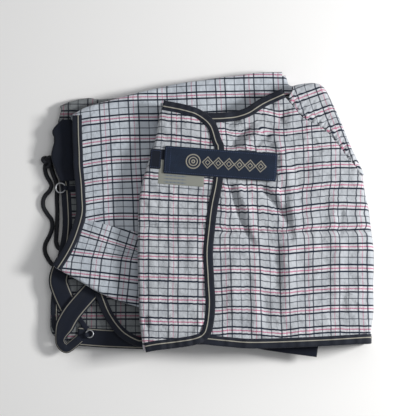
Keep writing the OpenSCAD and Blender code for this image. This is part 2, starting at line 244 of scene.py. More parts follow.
def makeBinding():
    s = Shader("navy_binding", Roughness=0.7, Specular_IOR_Level=0.3, Sheen_Weight=0.1)
    u, v, _ = s.parts(s.place("cloth"))
    rib = u.wave(1.3)
    patchy = s.noise(s.place(), 40.0)
    navy = s.blend(patchy, tint("#070b15"), tint("#111a2b"))
    piping = v.line(tapeLook["piping"], tapeLook["pipingHalf"], 0.3)
    cord = s.blend((u + v * 0.8).wave(2.0) * 0.6, tint("#b0ada2"), tint("#76736a"))
    hem = v.line(tapeLook["hem"], 0.3, 0.2) * (u.wave(3.2) * 0.6)
    s.feed(Base_Color=s.blend(hem, s.blend(piping, navy, cord), tint("#202c45")),
           Roughness=0.62 + 0.16 * patchy)
    s.bump(rib * 0.5 + patchy * 0.5, 0.4, 0.0008)
    return s.material


def makeWebbingLook(name, low, high, lines=(), lineTint="#b7ae97"):
    s = Shader(name, Roughness=0.72, Specular_IOR_Level=0.3)
    u, v, _ = s.parts(s.place("cloth"))
    chevron = (u + v.math("ABSOLUTE") * 0.9).wave(2.6)
    patchy = s.noise(s.place(), 45.0)
    colour = s.blend(chevron * 0.5 + patchy * 0.5, tint(low), tint(high))
    for at in lines:
        colour = s.blend(v.line(at, 0.85, 0.25) * (0.6 + 0.3 * u.wave(1.6)), colour, tint(lineTint))
    s.feed(Base_Color=colour, Roughness=0.66 + 0.14 * patchy)
    s.bump(chevron * 0.7 + patchy * 0.3, 0.45, 0.0007)
    return s.material


def makeTwill(name, low, high, wearAndShadeDashes):
    s = Shader(name, Roughness=0.75, Specular_IOR_Level=0.25, Sheen_Weight=0.1)
    u, v, _ = s.parts(s.place("cloth"))
    twill = (u + v).wave(1.1)
    fibre = s.noise(s.place(), 900.0, 2.0)
    patchy = s.noise(s.place(), 30.0, 4.0)
    colour = s.blend(twill * 0.45 + fibre * 0.55, tint(low), tint(high))
    s.feed(Base_Color=s.blend(patchy.math("POWER", 3.0), colour, tint(wearAndShadeDashes)), Roughness=0.7 + 0.12 * patchy)
    s.bump(twill * 0.4 + fibre * 0.6, 0.5, 0.0006)
    return s.material


def makeCord():
    s = Shader("cord", Roughness=0.6, Specular_IOR_Level=0.35)
    u, v, _ = s.parts(s.place("cloth"))
    braid = (u + v * 2).wave(4.0) * (u - v * 2).wave(4.0)
    s.feed(Base_Color=s.blend(braid, tint("#07080c"), tint("#1b2030")), Roughness=0.55 + 0.2 * braid)
    s.bump(braid, 0.6, 0.0008)
    return s.material


def makeGrain(name, grain, low, high, rough=None, bump=None, **settings):
    # one noise gives the colour, and where they are set the roughness and the bump
    s = Shader(name, **settings)
    fibre = s.noise(s.place(), *grain)
    s.feed(Base_Color=s.blend(fibre, tint(low), tint(high)))
    if rough:
        s.feed(Roughness=rough[0] + rough[1] * fibre)
    if bump:
        s.bump(fibre, *bump)
    return s.material


def makeLabel():
    s = Shader("label_cloth", Roughness=0.6)
    u, v, _ = s.parts(s.place("cloth"))
    bars = v.near(6.0).line(0, 1.1) * u.line(30, 19, 2) * (0.35 + 0.3 * u.wave(7.0))
    spot = u.line(68, 1.8) * v.line(35, 1.8)
    weave = (u.wave(0.9) + v.wave(0.9)) * 0.5
    # painted shade: the whitish label's ground is dimmed to grey for the strap's shadow over it; the bars and the
    # green spot are its print
    colour = s.blend(bars, tint("#84867f"), tint("#435a7a"))
    s.feed(Base_Color=s.blend(spot, colour, tint("#3a9d83")), Roughness=0.55 + 0.15 * weave)
    s.bump(weave, 0.3, 0.0004)
    return s.material


bodyPlaid = makePlaid("plaid_mesh", "#e8ecf2", "#d3dae2")
chestPlaid = makePlaid("plaid_chest", "#e4e5e9", "#c8ccd1", dark=0.85, creased=True)
# painted shade: a dimmer copy of the plaid, with darker grounds, for the inner and lower plies that lie in shadow
paintedShadePlaid = makePlaid("plaid_shade", "#c9cbcd", "#adb2b4", 0.55)
navyBinding = makeBinding()
legWebbing = makeWebbingLook("navy_webbing", "#070c16", "#111a2c", (-14.2, 14.2), "#9a978c")
plainWebbing = makeWebbingLook("belly_webbing", "#080d18", "#131b2e")
strapTwill = makeTwill("strap_cloth", "#080f1c", "#16243a", "#213249")
flapTwill = makeTwill("tail_flap_cloth", "#060a14", "#0e1626", "#121b2d")
cordBraid = makeCord()
labelCloth = makeLabel()
ringMetal = makeGrain("ring_metal", (260.0, 4.0), "#8d9096", "#c8cacd", (0.25, 0.3), (0.15, 0.0002),
                      Metallic=1.0)
badgeThread = makeGrain("badge_thread", (1400.0, 2.0), "#6d6a62", "#a29e92", (0.5, 0.2), (0.5, 0.0004),
                        Roughness=0.55, Specular_IOR_Level=0.4, Sheen_Weight=0.2)
stitchThread = makeGrain("stitch_thread", (2000.0, 2.0), "#33466f", "#5a6b92", Roughness=0.6)
pileLook = {"grain": (1600.0, 3.0), "rough": (0.8, 0.15), "bump": (0.9, 0.001), "Roughness": 0.9,
            "Sheen_Weight": 0.3}
hookPile = makeGrain("hook_pile", low="#0b0d13", high="#20242e", **pileLook)
loopPile = makeGrain("loop_pile", low="#0d0f18", high="#282d3a", **pileLook)


# Curves, patches and sheets
def smooth(points, steps=10):
    p = np.array(points, float)
    q = np.vstack([2 * p[0] - p[1], p, 2 * p[-1] - p[-2]])
    t = np.linspace(0, 1, steps, endpoint=False)[:, None]
    runs = [0.5 * (2 * b + (c - a) * t + (2 * a - 5 * b + 4 * c - d) * t**2
                   + (3 * b - a - 3 * c + d) * t**3)
            for a, b, c, d in zip(q, q[1:], q[2:], q[3:])]
    return np.vstack(runs + [p[-1:]])


def stations(line):
    return np.r_[0, np.cumsum(np.linalg.norm(np.diff(line, axis=0), axis=1))]


def along(line, shares):
    s = stations(line)
    return np.stack([np.interp(shares * s[-1], s, line[:, k]) for k in range(line.shape[1])], -1)


def evenly(line, step):
    count = max(3, int(stations(line)[-1] / step) + 1)
    return along(line, np.linspace(0, 1, count))


def unit(vectors):
    return vectors / np.linalg.norm(vectors, axis=1)[:, None]


def heading(line):  # unit vectors along a line
    return unit(np.gradient(line, axis=0))


def sideways(line):  # unit vectors to the left of a line seen from above
    d = heading(line[:, :2])
    return np.stack([-d[:, 1], d[:, 0]], -1)


def places(*rows):  # points as steps from anchors: a row holds an anchor's x and y, then its steps
    return [(x0 + x, y0 + y) for x0, y0, *steps in rows for x, y in steps]


def fillPatch(b, r, t, l, nu, nw):  # the points between four sides, in nu by nw rows
    u, w = np.linspace(0, 1, nu), np.linspace(0, 1, nw)
    b, t = along(b, u)[:, None], along(t, u)[:, None]
    l, r = along(l, w)[None], along(r, w)[None]
    u, w = u[:, None, None], w[None, :, None]
    corners = ((1 - u) * (1 - w) * b[0, 0] + u * (1 - w) * b[-1, 0]
               + (1 - u) * w * t[0, 0] + u * w * t[-1, 0])
    return (1 - w) * b + w * t + (1 - u) * l + u * r - corners


def patchGrid(bottom, right, top, left, cell):
    b, r, t, l = (smooth(side) for side in (bottom, right, top, left))
    nu = int(max(stations(b)[-1], stations(t)[-1]) / cell) + 2
    nw = int(max(stations(l)[-1], stations(r)[-1]) / cell) + 2
    return fillPatch(b, r, t, l, nu, nw)


def ripple(x, y, size, seed):  # smooth waves of about one size, from -1 to 1
    rng = np.random.default_rng(seed)
    total = np.zeros(np.broadcast(x, y).shape)
    for _ in range(9):
        turn, pitch, phase = rng.uniform(0, 2 * math.pi), size * rng.uniform(0.7, 1.5), rng.uniform(0, 6.3)
        total += np.cos(2 * math.pi * (x * math.cos(turn) + y * math.sin(turn)) / pitch + phase)
    return total / 4.5


def crumple(x, y, size, seed):  # sharp little ridges between flat facets
    return (1 - np.clip(np.abs(ripple(x, y, size, seed)) * 1.6, 0, 1)) ** 2


def relief(z, x, y, piece):  # adds a piece's waves and creases to its height
    for height, size, seed in piece["waves"]:
        z = z + height * ripple(x, y, size, seed)
    for height, size, seed in piece["creases"]:
        z = z + height * crumple(x, y, size, seed)
    return z


def rise(t):  # smooth step from 0 to 1
    t = np.clip(t, 0, 1)
    return t * t * (3 - 2 * t)


def foldHeight(x, y, folds):
    total = np.zeros_like(x)
    for x0, y0, x1, y1, height, wide in folds:
        dx, dy = x1 - x0, y1 - y0
        size = dx * dx + dy * dy
        t = ((x - x0) * dx + (y - y0) * dy) / size
        off = ((x - x0) * dy - (y - y0) * dx) / math.sqrt(size)
        total += height * np.exp(-(off / wide) ** 2) * rise(t * 3) * rise((1 - t) * 3)
    return total


def between(value, lines):  # place of a value among rising lines, in steps of one
    k = np.full(value.shape, 0.0)
    for i, (a, b) in enumerate(zip(lines, lines[1:])):
        share = (value - a) / (b - a)
        first, last = i == 0, i == len(lines) - 2
        use = ((value >= a) | first) & ((value < b) | last)
        k = np.where(use, i + share, k)
    return k


def clothSheet(grid, height, weave):
    x, y = grid[..., 0], grid[..., 1]
    points = np.dstack([x, y, height(x, y)])
    uv = np.dstack(weave(x, y))
    for axis in (0, 1):  # the cloth that a slope takes up
        step = np.diff(points, axis=axis)
        extra = np.linalg.norm(step, axis=2) - np.linalg.norm(step[..., :2], axis=2)
        taken = np.insert(np.cumsum(extra, axis=axis), 0, 0, axis=axis)
        middle = taken.mean(axis=axis, keepdims=True)
        uv[..., axis] += (taken - middle) * 0.45
    return points, uv


def strip(near, far, count):  # rows of points from one line to another
    return np.stack([near + (far - near) * k for k in np.linspace(0, 1, count)], 0)


def hemPly(low, high, cell, height):  # a flat ply between two lines
    sides = [low[1], high[1]], [low[0], high[0]]
    return clothSheet(patchGrid(low, sides[0], high, sides[1], cell), height, plainWeave)


def rollEdge(edge, uv, side, reach, bottom, tuck=14.0, seed=5):
    # cloth that turns over from a sheet's edge, out by the reach, down to the bottom and in again
    out = sideways(edge) * side
    run = stations(edge)
    swell = 1 + 0.10 * ripple(run, run * 0, 90.0, seed)
    reach = (np.zeros(len(edge)) + reach) * swell
    tall = (edge[:, 2] - bottom) / 2
    count = max(8, int((math.pi * (reach.mean() + tall.mean()) / 2) / 3.5))
    rows, cloth, length = [], [], np.zeros(len(edge))
    last = edge
    moves = [(a, 0.0) for a in np.linspace(0, math.pi, count)]
    moves += [(math.pi, d) for d in (tuck / 3, tuck * 2 / 3, tuck)]
    for angle, inward in moves:
        crease = 1 + 0.07 * np.sin(3 * angle + 2 * ripple(run, run * 0, 130.0, seed + 1)) * math.sin(angle)
        push = reach * math.sin(angle) * crease - inward
        z = edge[:, 2] - tall * (1 - math.cos(angle))
        now = np.column_stack([edge[:, :2] + out * push[:, None], z])
        length = length + np.linalg.norm(now - last, axis=1)
        rows.append(now)
        cloth.append(uv + out * length[:, None])
        last = now
    return np.stack(rows, 1), np.stack(cloth, 1)


def select(obj):
    bpy.ops.object.select_all(action="DESELECT")
    obj.select_set(True)
    bpy.context.view_layer.objects.active = obj


mergeWithin = 2e-5


def addMesh(name, verts, faces, material):
    mesh = bpy.data.meshes.new(name)
    mesh.from_pydata((verts * mm).tolist(), [], faces)
    mesh.materials.append(material)
    obj = bpy.data.objects.new(name, mesh)
    bpy.context.collection.objects.link(obj)
    select(obj)
    return obj


def meshObject(name, grids, material, thick=0.0, wrap=False):
    verts, faces, cloth, start = [], [], [], 0
    for points, uv in grids:
        n, m = points.shape[:2]
        index = start + np.arange(n * m).reshape(n, m)
        if wrap:
            index = np.hstack([index, index[:, :1]])
        quads = np.stack([index[:-1, :-1], index[1:, :-1], index[1:, 1:], index[:-1, 1:]], -1)
        faces += quads.reshape(-1, 4).tolist()
        if wrap:
            faces += [index[0, :-1].tolist(), index[-1, :-1][::-1].tolist()]
        verts.append(points.reshape(-1, 3))
        cloth.append(uv.reshape(-1, 2))
        start += n * m
    obj = addMesh(name, np.vstack(verts), faces, material)
    mesh, cloth = obj.data, np.vstack(cloth)
    picks = np.zeros(len(mesh.loops), np.int32)
    mesh.loops.foreach_get("vertex_index", picks)
    mesh.uv_layers.new(name="cloth").data.foreach_set("uv", cloth[picks].astype(np.float32).ravel())
    bpy.ops.object.mode_set(mode="EDIT")
    bpy.ops.mesh.select_all(action="SELECT")
    bpy.ops.mesh.remove_doubles(threshold=mergeWithin)
    bpy.ops.mesh.normals_make_consistent(inside=False)
    bpy.ops.object.mode_set(mode="OBJECT")
    if thick:
        solid = obj.modifiers.new("cloth", "SOLIDIFY")
        solid.thickness, solid.offset = thick * mm, 0
        bpy.ops.object.modifier_apply(modifier=solid.name)
    bpy.ops.object.shade_smooth()
    return obj


def finishPiece(obj, body, slot, *nodes):
    if body:
        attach(obj, body)
    if nodes:
        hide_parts(*nodes)


def makePiece(name, grids, material, body, slot, *nodes, thick=0.0, wrap=False):
    obj = meshObject(name, grids, material, thick, wrap)
    finishPiece(obj, body, slot, *nodes)
    return obj


# Tapes: a closed section swept along an edge, with its own length and width as the cloth map
bindingSection = [(0, -0.5), (0, 0.5), (0.6, 1.4), (2, 1.8), (6, 1.9), (9.0, 1.8), (9.7, 2.0), (10.2, 2.8),
                  (11.5, 2.8), (12.1, 1.9), (14, 1.7), (16.8, 1.6), (17.5, 0.9), (17.5, -0.8), (16.8, -1.3),
                  (6, -1.5), (1.5, -1.3), (0.5, -1.0)]


def flatSection(wide, thick):
    w, h, c = wide / 2, thick / 2, thick * 0.35
    return [(-w, -h + c), (-w, h - c), (-w + c, h), (-w * 0.5, h), (0, h), (w * 0.5, h), (w - c, h),
            (w, h - c), (w, -h + c), (w - c, -h), (0, -h), (-w + c, -h)]


def sweep(path, across, section, up=None):
    path = np.asarray(path, float)
    across = np.column_stack([across, np.zeros(len(path))]) if across.shape[1] == 2 else across
    if up is None:
        up = np.cross(heading(path), across)
        up = unit(up * np.sign(np.where(up[:, 2:] == 0, 1, up[:, 2:])))
    run = stations(path)
    rows = [path + across * d + up * h for d, h in section]
    cloth = [np.column_stack([run, np.full(len(run), float(d))]) for d, h in section]
    return np.stack(rows, 1), np.stack(cloth, 1)


def bindingRun(edge, side, height, lift=1.6, step=4.0, seed=3, waver=0.5):
    # tape along an edge, lying on the cloth whose height is given, on the side of the edge that is named
    line = evenly(smooth(edge), step)
    inward = sideways(line) * side
    run = stations(line)
    line = line + inward * (waver * ripple(run, run * 0, 60.0, seed))[:, None]
    under = [height(*(line + inward * off).T) for off in (3, 8, 13, 17)]
    z = np.max(under, axis=0) + lift + 0.4 * ripple(run, run * 0, 45.0, seed + 1)
    return sweep(np.column_stack([line, z]), inward, bindingSection)


def makeTape(name, runs, body, *nodes):
    makePiece(name, runs, navyBinding, body, "navy_binding", *nodes, wrap=True)


def flatAt(z, wobble=0.5, size=80.0, seed=11):
    return lambda x, y: z + wobble * ripple(x, y, size, seed)


def plainWeave(x, y):
    return x, y


# Tail cord: the two runs and the knot
cordInner = [
    (-266, -64, 9), (-274, -59, 6), (-278, -48, 4), (-277, -30, 4), (-276, -10, 4), (-276, 10, 4),
    (-277, 30, 4), (-277, 46, 4), (-279, 62, 4), (-284, 74, 4), (-287, 84, 4), (-289, 92, 5)]
cordOuter = [
    (-298, 92, 5), (-299, 84, 4), (-296, 72, 4), (-290, 62, 4), (-287, 54, 4), (-290, 45, 4),
    (-298, 36, 4), (-302, 26, 4), (-301, 14, 4), (-294, 2, 4), (-286, -10, 5), (-285, -24, 6),
    (-290, -38, 4), (-297, -52, 4), (-298, -66, 4), (-292, -80, 4), (-284, -90, 6), (-274, -94, 9)]
tailCord = {"innerLength": 0.164, "outerLength": 0.213, "radius": 4.0, "sides": 16, "knotWire": 3.6,
            "knotSides": 14, "knotCore": 6.5}


def tube(line, radius, sides):
    d = heading(line)
    across = unit(np.cross(d, [0.0, 0.0, 1.0]))
    up = np.cross(across, d)
    run = stations(line)
    angles = np.linspace(0, 2 * math.pi, sides, endpoint=False)
    rows = [line + radius * (math.cos(a) * across + math.sin(a) * up) for a in angles]
    cloth = [np.column_stack([run, np.full(len(run), a * radius)]) for a in angles]
    return np.stack(rows, 1), np.stack(cloth, 1)


def makeCords():
    low, high = boxOf("tail_cord_knot")
    centre, half = (low + high) / 2, (high - low) / 2
    wire, radius, sides = tailCord["knotWire"], tailCord["radius"], tailCord["knotSides"]
    t = np.linspace(0, 2 * math.pi, 130)
    # a trefoil winding, pressed to the knot's own size
    ball = half - wire - 0.3
    x, y, z = np.sin(t) + 2 * np.sin(2 * t), np.cos(t) - 2 * np.cos(2 * t), -np.sin(3 * t)
    knotLine = centre + np.column_stack([x * ball[0] / 2.6, y * ball[1] / 2.6, z * ball[2]])
    middle = centre + np.column_stack([np.linspace(-6, 6, 9), np.zeros(9), np.zeros(9)])
    grids = [tube(knotLine, wire, sides), tube(middle, tailCord["knotCore"], sides)]
    knot = makePiece("tail_cord_knot_tied", grids, cordBraid, "folded_body", "cord", "tail_cord_knot",
                     wrap=True)
    runs = (("tail_cord_inner", cordInner, tailCord["innerLength"]),
            ("tail_cord_outer", cordOuter[::-1], tailCord["outerLength"]))
    for name, route, length in runs:
        line = evenly(smooth(route, 8), 2.5)
        grids = [tube(line, radius, tailCord["sides"])]
        run = makePiece(name + "_run", grids, cordBraid, "folded_body", "cord", name, wrap=True)
        [c * mm for c in route[0]]


print("cords")
makeCords()


clothThick, shadeThick = 1.2, 1.1

# Body, right side: the upper ply with its spine roll, the pleat on it, and the inner plies
body = {"cell": 3.6, "thick": clothThick, "sunk": 2.4, "waves": [(0.7, 80, 21)],
        "creases": [(0.9, 55, 22), (0.6, 26, 23)], "rollFrom": 0.52}
pleat = {"lift": 0.4, "waves": [(0.8, 60, 41)], "creases": [(1.0, 42, 42), (0.6, 22, 43)]}

bodyFolds = [(-236, 28, -206, 22, 1.6, 5), (-200, 8, -170, -4, 1.8, 6), (-214, 60, -190, 66, 1, 6),
             (-232, 150, -200, 178, 1.6, 7), (-150, 30, -136, -20, 1.4, 7),
             (-110, 200, -40, 214, 1.2, 9), (-60, 222, 60, 240, 1.2, 8), (60, 214, 126, 228, 1.6, 9),
             (-226, 120, -150, 128, 0.7, 8)]


def bodyHeight(x, y):
    z = relief(bodyTopZ - body["sunk"], x, y, body) + 1.3 * foldHeight(x, y, bodyFolds)
    z = z - 8.0 * rise((y - spineY + 80) / 75) * rise((x + 140) / 60)
    hidden = rise((x - chestX + 4) / 10) * (y < spineY - 78)
    return z * (1 - hidden) + (bodyTopZ - 1.6) * hidden


def bodyWeave(x, y):
    u = x + 0.05 * (y - 133) + 187 + 0.8 * ripple(x, y, 120, 31)
    level = y - 0.035 * np.clip(x + 140, 0, 200) + 0.0011 * np.clip(-140 - x, 0, None) ** 2
    rows = (-74, -40, -5, 29, 63, 98, 135, 174, 211, 247, 283)
    return u, between(level + 0.9 * ripple(x, y, 100, 32), rows) * plaid["down"]


rightRear = places((rearX, hemY, (12, 167), (32, 200)), (rearX, 0, (51, -12), (53, 30), (48, 96)),
                   (rearX, spineY, (45, -82)))
bodySpine = places((rearX, spineY, (45, -90), (75, -73), (118, -61), (203, -39)),
                   (frontX, spineY, (-293, -23), (-209, -12), (-160, -9)))
bodyRight = places((frontX, hemY, (-9, 30), (-8, 110)), (frontX, 0, (-10, -60)),
                   (frontX, spineY, (-20, -225), (-52, -134), (-100, -44), (-148, -32), (-160, -9)))
bodyLeft = places((chestX, hemY, (36, 30), (16, 88)), (rearX, hemY, (123, 142), (65, 202)),
                  (rearX, 0, (58, -14), (59, 30), (54, 96)), (rearX, spineY, (45, -90)))
bodyHem = [(chestX + 36, hemY + 30), (frontX - 9, hemY + 30)]

pleatTop = places((rearX, 0, (58, -10), (103, -21), (163, -36), (233, -50)))
pleatBottom = places((rearX, hemY, (16, 169), (55, 147), (91, 125), (129, 109), (166, 97), (233, 74)))
pleatLeft = [(rearX + 16, hemY + 169), (rearX + 36, hemY + 201), (rearX + 58, -10)]
pleatRight = [(rearX + 233, hemY + 74), (rearX + 233, -50)]
pleatFolds = [(-228, -30, -150, -58, 1.2, 6), (-206, -62, -134, -76, 2.6, 5),
              (-170, -70, -128, -88, -1.8, 5), (-240, -70, -160, -92, 1.2, 7),
              (-215, -104, -140, -124, 1.4, 8), (-196, -130, -120, -158, 1.8, 6),
              (-150, -110, -128, -150, -1.4, 6)]


def pleatHeight(x, y):
    crease = -8 - 0.28 * (x - rearX - 54)
    below = np.clip(crease - y, 0, None)
    z = bodyTopZ + pleat["lift"] + 2.2 * np.exp(-below / 16) * rise((x + 240) / 60)
    z = relief(z + foldHeight(x, y, pleatFolds), x, y, pleat)
    hidden = rise((x - chestX + 10) / 14)
    return z * (1 - hidden) + (bodyTopZ - 0.6) * hidden


def pleatWeave(x, y):
    shift = x + 240
    rows = ((-179, 0.115), (-144, 0.115), (-107.5, 0.115), (-69.5, 0.119), (-31, 0.311), (7, 0.36))
    lines = [start - slope * shift for start, slope in rows]
    lean = np.where(y > -84, 0.31 * (y + 45), 0.31 * -39 + 0.1 * (y + 84))
    return x + 190 - lean, between(y, lines) * plaid["down"]


def makeBody():
    cell = body["cell"]
    sheet = patchGrid(bodyHem, bodyRight, bodySpine, bodyLeft, cell)
    top, topCloth = clothSheet(sheet, bodyHeight, bodyWeave)
    diagonal = int(top.shape[1] * body["rollFrom"])
    sheet = patchGrid(pleatBottom, pleatRight, pleatTop, pleatLeft, cell)
    over, overCloth = clothSheet(sheet, pleatHeight, pleatWeave)
    grids = [(top, topCloth),
             rollEdge(top[:, -1], topCloth[:, -1], 1, 9, innerTopZ - 8, seed=51),
             rollEdge(top[-1, diagonal:], topCloth[-1, diagonal:], -1, 7, 3.0, seed=52),
             (over, overCloth),
             rollEdge(over[:, -1], overCloth[:, -1], 1, 1.6, bodyTopZ - 1.4, 6, seed=53),
             rollEdge(over[:, 0], overCloth[:, 0], -1, 4.5, innerTopZ + 1, 22, seed=54)]
    makePiece("right_side_cloth", grids, bodyPlaid, "folded_body", "plaid_mesh", "right_side_panel",
              thick=body["thick"])


print("body")
makeBody()

innerHem = places((rearX, hemY, (178, 21), (160, 23), (129, 41), (104, 75), (86, 118)))
innerFolds = [(-150, -235, -160, -170, 1.8, 7), (-135, -225, -138, -160, -1.6, 6),
              (-180, -190, -150, -215, 1.5, 6)]


def innerHeight(x, y):
    return innerTopZ - 2.6 + 0.8 * ripple(x, y, 45, 61) + foldHeight(x, y, innerFolds)


def makeInnerPlies():
    left = places((rearX, hemY, (180, 26), (162, 28), (134, 45), (109, 78), (92, 140)))
    bottom = [(rearX + 180, hemY + 26), (frontX - 10, hemY + 32)]
    right = [(frontX - 10, hemY + 32), (frontX - 10, hemY + 150)]
    top = [(rearX + 92, hemY + 140), (frontX - 10, hemY + 150)]
    sheet = patchGrid(bottom, right, top, left, 5.0)
    grids = [clothSheet(sheet, lambda x, y: innerHeight(x, y) - drop, plainWeave) for drop in (0.0, 6.0)]
    # short plies that show as edges along the hems, and in the spine roll
    for z, back in ((bodyTopZ - 6.0, 4), (bodyTopZ - 9.5, 0)):
        low = [(chestX + 40, hemY + 30 + back), (frontX - 9, hemY + 32 + back)]
        high = [(chestX + 40, hemY + 110), (frontX - 9, hemY + 110)]
        grids.append(hemPly(low, high, 6.0, flatAt(z, 0.6, 70, 62 + back)))
    makePiece("right_inner_cloth", grids, paintedShadePlaid, "folded_body", "plaid_shade", thick=clothThick)


makeInnerPlies()

leftRear = places((rearX, hemY, (32, 40), (9, 56), (9, 120)), (rearX, 0, (18, -80), (26, -40), (27, 0),
                  (23, 50), (13, 100)), (rearX, spineY, (10, -118)))
leftSpine = places((rearX, spineY, (24, -68), (43, -60), (73, -54), (113, -56)), (0, spineY, (0, -32)),
                   (frontX, spineY, (-160, -20)))
leftFolds = [(-276, 160, -240, 200, 2.4, 8), (-262, 196, -225, 186, 2, 7),
             (-250, 180, -215, 206, -1.5, 6), (-270, -200, -240, -150, 1.4, 9),
             (-215, -160, -200, -200, 1.2, 6)]


def leftHeight(x, y):
    return leftTopZ - 1.6 + 0.6 * ripple(x, y, 60, 71) + foldHeight(x, y, leftFolds) * rise((-x - 190) / 20)


def makeLeftSide():
    left = places((rearX, hemY, (36, 44), (15, 60), (14, 120)), (rearX, 0, (23, -80), (31, -40),
                  (32, 0), (28, 50), (18, 100)), (rearX, spineY, (15, -112), (24, -68)))
    right = places((frontX, hemY, (-12, 26)), (frontX, 0, (-12, -60)), (frontX, spineY, (-22, -228),
                   (-54, -136), (-102, -46), (-160, -20)))
    bottom = [(rearX + 36, hemY + 44), (rearX + 75, hemY + 28), (frontX - 12, hemY + 26)]
    top, cloth = clothSheet(patchGrid(bottom, right, leftSpine, left, 4.5), leftHeight, plainWeave)
    grids = [(top, cloth), rollEdge(top[:, -1], cloth[:, -1], 1, 8, 1.2, 60, seed=72)]
    grids.append(clothSheet(patchGrid(bottom, right, leftSpine, left, 8.0), flatAt(1.0, 0.2), plainWeave))
    for z, inset in ((5.5, 3), (10.5, 1)):
        edge = smooth(left[:-1]) + np.array([inset, 0])
        ply = strip(edge, edge + np.array([60, 0]), 10)
        grids.append(clothSheet(ply, flatAt(z, 0.7, 60, 73), plainWeave))
        low = [(rearX + 75, hemY + 28 + inset), (frontX - 12, hemY + 28 + inset)]
        high = [(rearX + 75, hemY + 90), (frontX - 12, hemY + 90)]
        grids.append(hemPly(low, high, 7.0, flatAt(z, 0.7, 60, 74)))
    makePiece("left_side_cloth", grids, paintedShadePlaid, "folded_body", "plaid_shade", "left_side_panel",
              thick=shadeThick)


makeLeftSide()


def makeBodyTapes():
    def rearHeight(x, y):
        return np.maximum(bodyHeight(x, y), np.where(y < -8, bodyTopZ + pleat["lift"], 0))

    rear = [bindingRun(rightRear, -1, rearHeight, 1.0, seed=81),
            bindingRun([(x + 3, y) for x, y in rightRear[1:]], -1, flatAt(bodyTopZ - 8), 0.6, seed=82),
            bindingRun(innerHem, -1, innerHeight, 1.2, seed=83)]
    hem = places((rearX, hemY, (178, 21)), (chestX, hemY, (60, 24)), (frontX, hemY, (-210, 28), (-10, 30)))
    for z, back in ((innerTopZ - 3, 0), (innerTopZ - 8, 2), (bodyTopZ - 9.5, 3)):
        rear.append(bindingRun([(x, y + back) for x, y in hem], 1, flatAt(z, 0.5), 0.4, seed=84 + back))
    low = [(chestX + 36, hemY + 33), (frontX - 10, hemY + 31)]
    for z, back in ((bodyTopZ - 6, 3), (bodyTopZ - 2, 0)):
        rear.append(bindingRun([(x, y + back) for x, y in low], 1, flatAt(z, 0.2), 0.0, seed=88 + back))
    makeTape("right_side_tape", rear, "folded_body", "right_side_binding")
    left = [bindingRun([(x + inset, y) for x, y in leftRear], -1, flatAt(z, 0.5), 0.2, seed=91 + inset)
            for z, inset in ((leftTopZ - 2.5, 0), (10.5, 2), (5.5, 1), (2.0, 3))]
    hem = [(rearX + 60, hemY + 30), (rearX + 110, hemY + 25), (frontX - 12, hemY + 26)]
    left += [bindingRun([(x, y + back) for x, y in hem], 1, flatAt(z, 0.4), 0.0, seed=95 + back)
             for z, back in ((leftTopZ - 2.2, 2), (10.5, 0), (5.5, 3), (2.0, 1))]
    makeTape("left_side_tape", left, "folded_body", "left_side_binding")


print("body tapes")
makeBodyTapes()


# Tail flap: navy cloth turned in behind the rear edge
def makeTailFlap():
    outer = places((rearX, spineY, (27, -200), (14, -170), (10, -150), (16, -124), (12, -108),
                   (30, -88)))
    cloth = strip(smooth(outer), smooth([(x + 40, y + 2) for x, y in outer]), 14)
    x, y = cloth[..., 0], cloth[..., 1]
    top = np.dstack([x, y, innerTopZ - 3.2 + 1.0 * np.sin(y / 9.0) * np.exp((rearX + 10 - x) / 18)])
    grids = [(top, cloth), rollEdge(top[0], cloth[0], 1, 3.0, innerZ + 1.2, 24, seed=101)]
    makePiece("tail_flap_cloth", grids, flapTwill, "folded_body", "navy_binding", "tail_flap",
              thick=clothThick)


makeTailFlap()

# Webbing: leg straps, belly strap, hem belt and the tapes at the rings
webbing = {"legWide": 35.0, "legThick": 2.6, "bellyWide": 50.0, "bellyThick": 3.6, "beltWide": 34.0,
           "beltThick": 1.6, "turnWidth": 0.5, "tabWide": 8.0, "tabThick": 0.9, "legTabTurn": 203}


def ribbon(path, wide, thick, step=3.0, narrow=None):
    # narrow is the share of the width left at the far end, taken up over the last part of the way
    line = evenly(smooth(path), step)
    across = sideways(line)
    if narrow:
        share = stations(line) / stations(line)[-1]
        across = across * (1 - (1 - narrow) * rise((share - 0.6) / 0.16))[:, None]
    return sweep(line, across, flatSection(wide, thick))


def makeWebbing(name, grid, material, *nodes):
    makePiece(name, [grid], material, "folded_body", "navy_webbing", *nodes, wrap=True)


def makeWebbingPieces():
    wide, thick = webbing["legWide"], webbing["legThick"]
    low = levels("leg_strap_left")[0] + thick / 2
    high = levels("leg_strap_right")[1] - thick / 2
    left = [(rearX + x, hemY + y, low + z) for x, y, z in (
        (33, 174, 1), (25, 158, 1.4), (21, 140, 1), (26, 122, 0.6), (37, 97, 0), (50, 74, 0))]
    makeWebbing("leg_strap_left_webbing", ribbon(left, wide, thick), legWebbing, "leg_strap_left")
    # the right one lies over the left one and turns back under itself at its end
    right = [(rearX + x, hemY + y, level + z) for x, y, level, z in (
        (112, 152, high, 0), (92, 134, high, 0.6), (68, 108, high, 1.2), (45, 80, high, 0.8),
        (31, 54, high, 0), (25, 36, high, -0.5), (27, 25, high, -2), (36, 18, low, 1), (46, 24, low, 0),
        (60, 36, low, 0))]
    turned = ribbon(right, wide, thick, 2.0, webbing["turnWidth"])
    makeWebbing("leg_strap_right_webbing", turned, legWebbing, "leg_strap_right")
    z = sum(levels("belly_strap")) / 2
    belly = [(chestX + 120, hemY + 62, z), (frontX - 190, hemY + 40, z), (frontX - 97, hemY + 27, z)]
    belly = ribbon(belly, webbing["bellyWide"], webbing["bellyThick"])
    makeWebbing("belly_strap_webbing", belly, plainWebbing, "belly_strap")
    belt = [(rearX + x, hemY + y, leftTopZ + z)
            for x, y, z in ((56, 40, 1.4), (110, 36, 1.2), (190, 33, 1.2))]
    makeWebbing("hem_belt_webbing", ribbon(belt, webbing["beltWide"], webbing["beltThick"]), legWebbing)


print("webbing")
makeWebbingPieces()


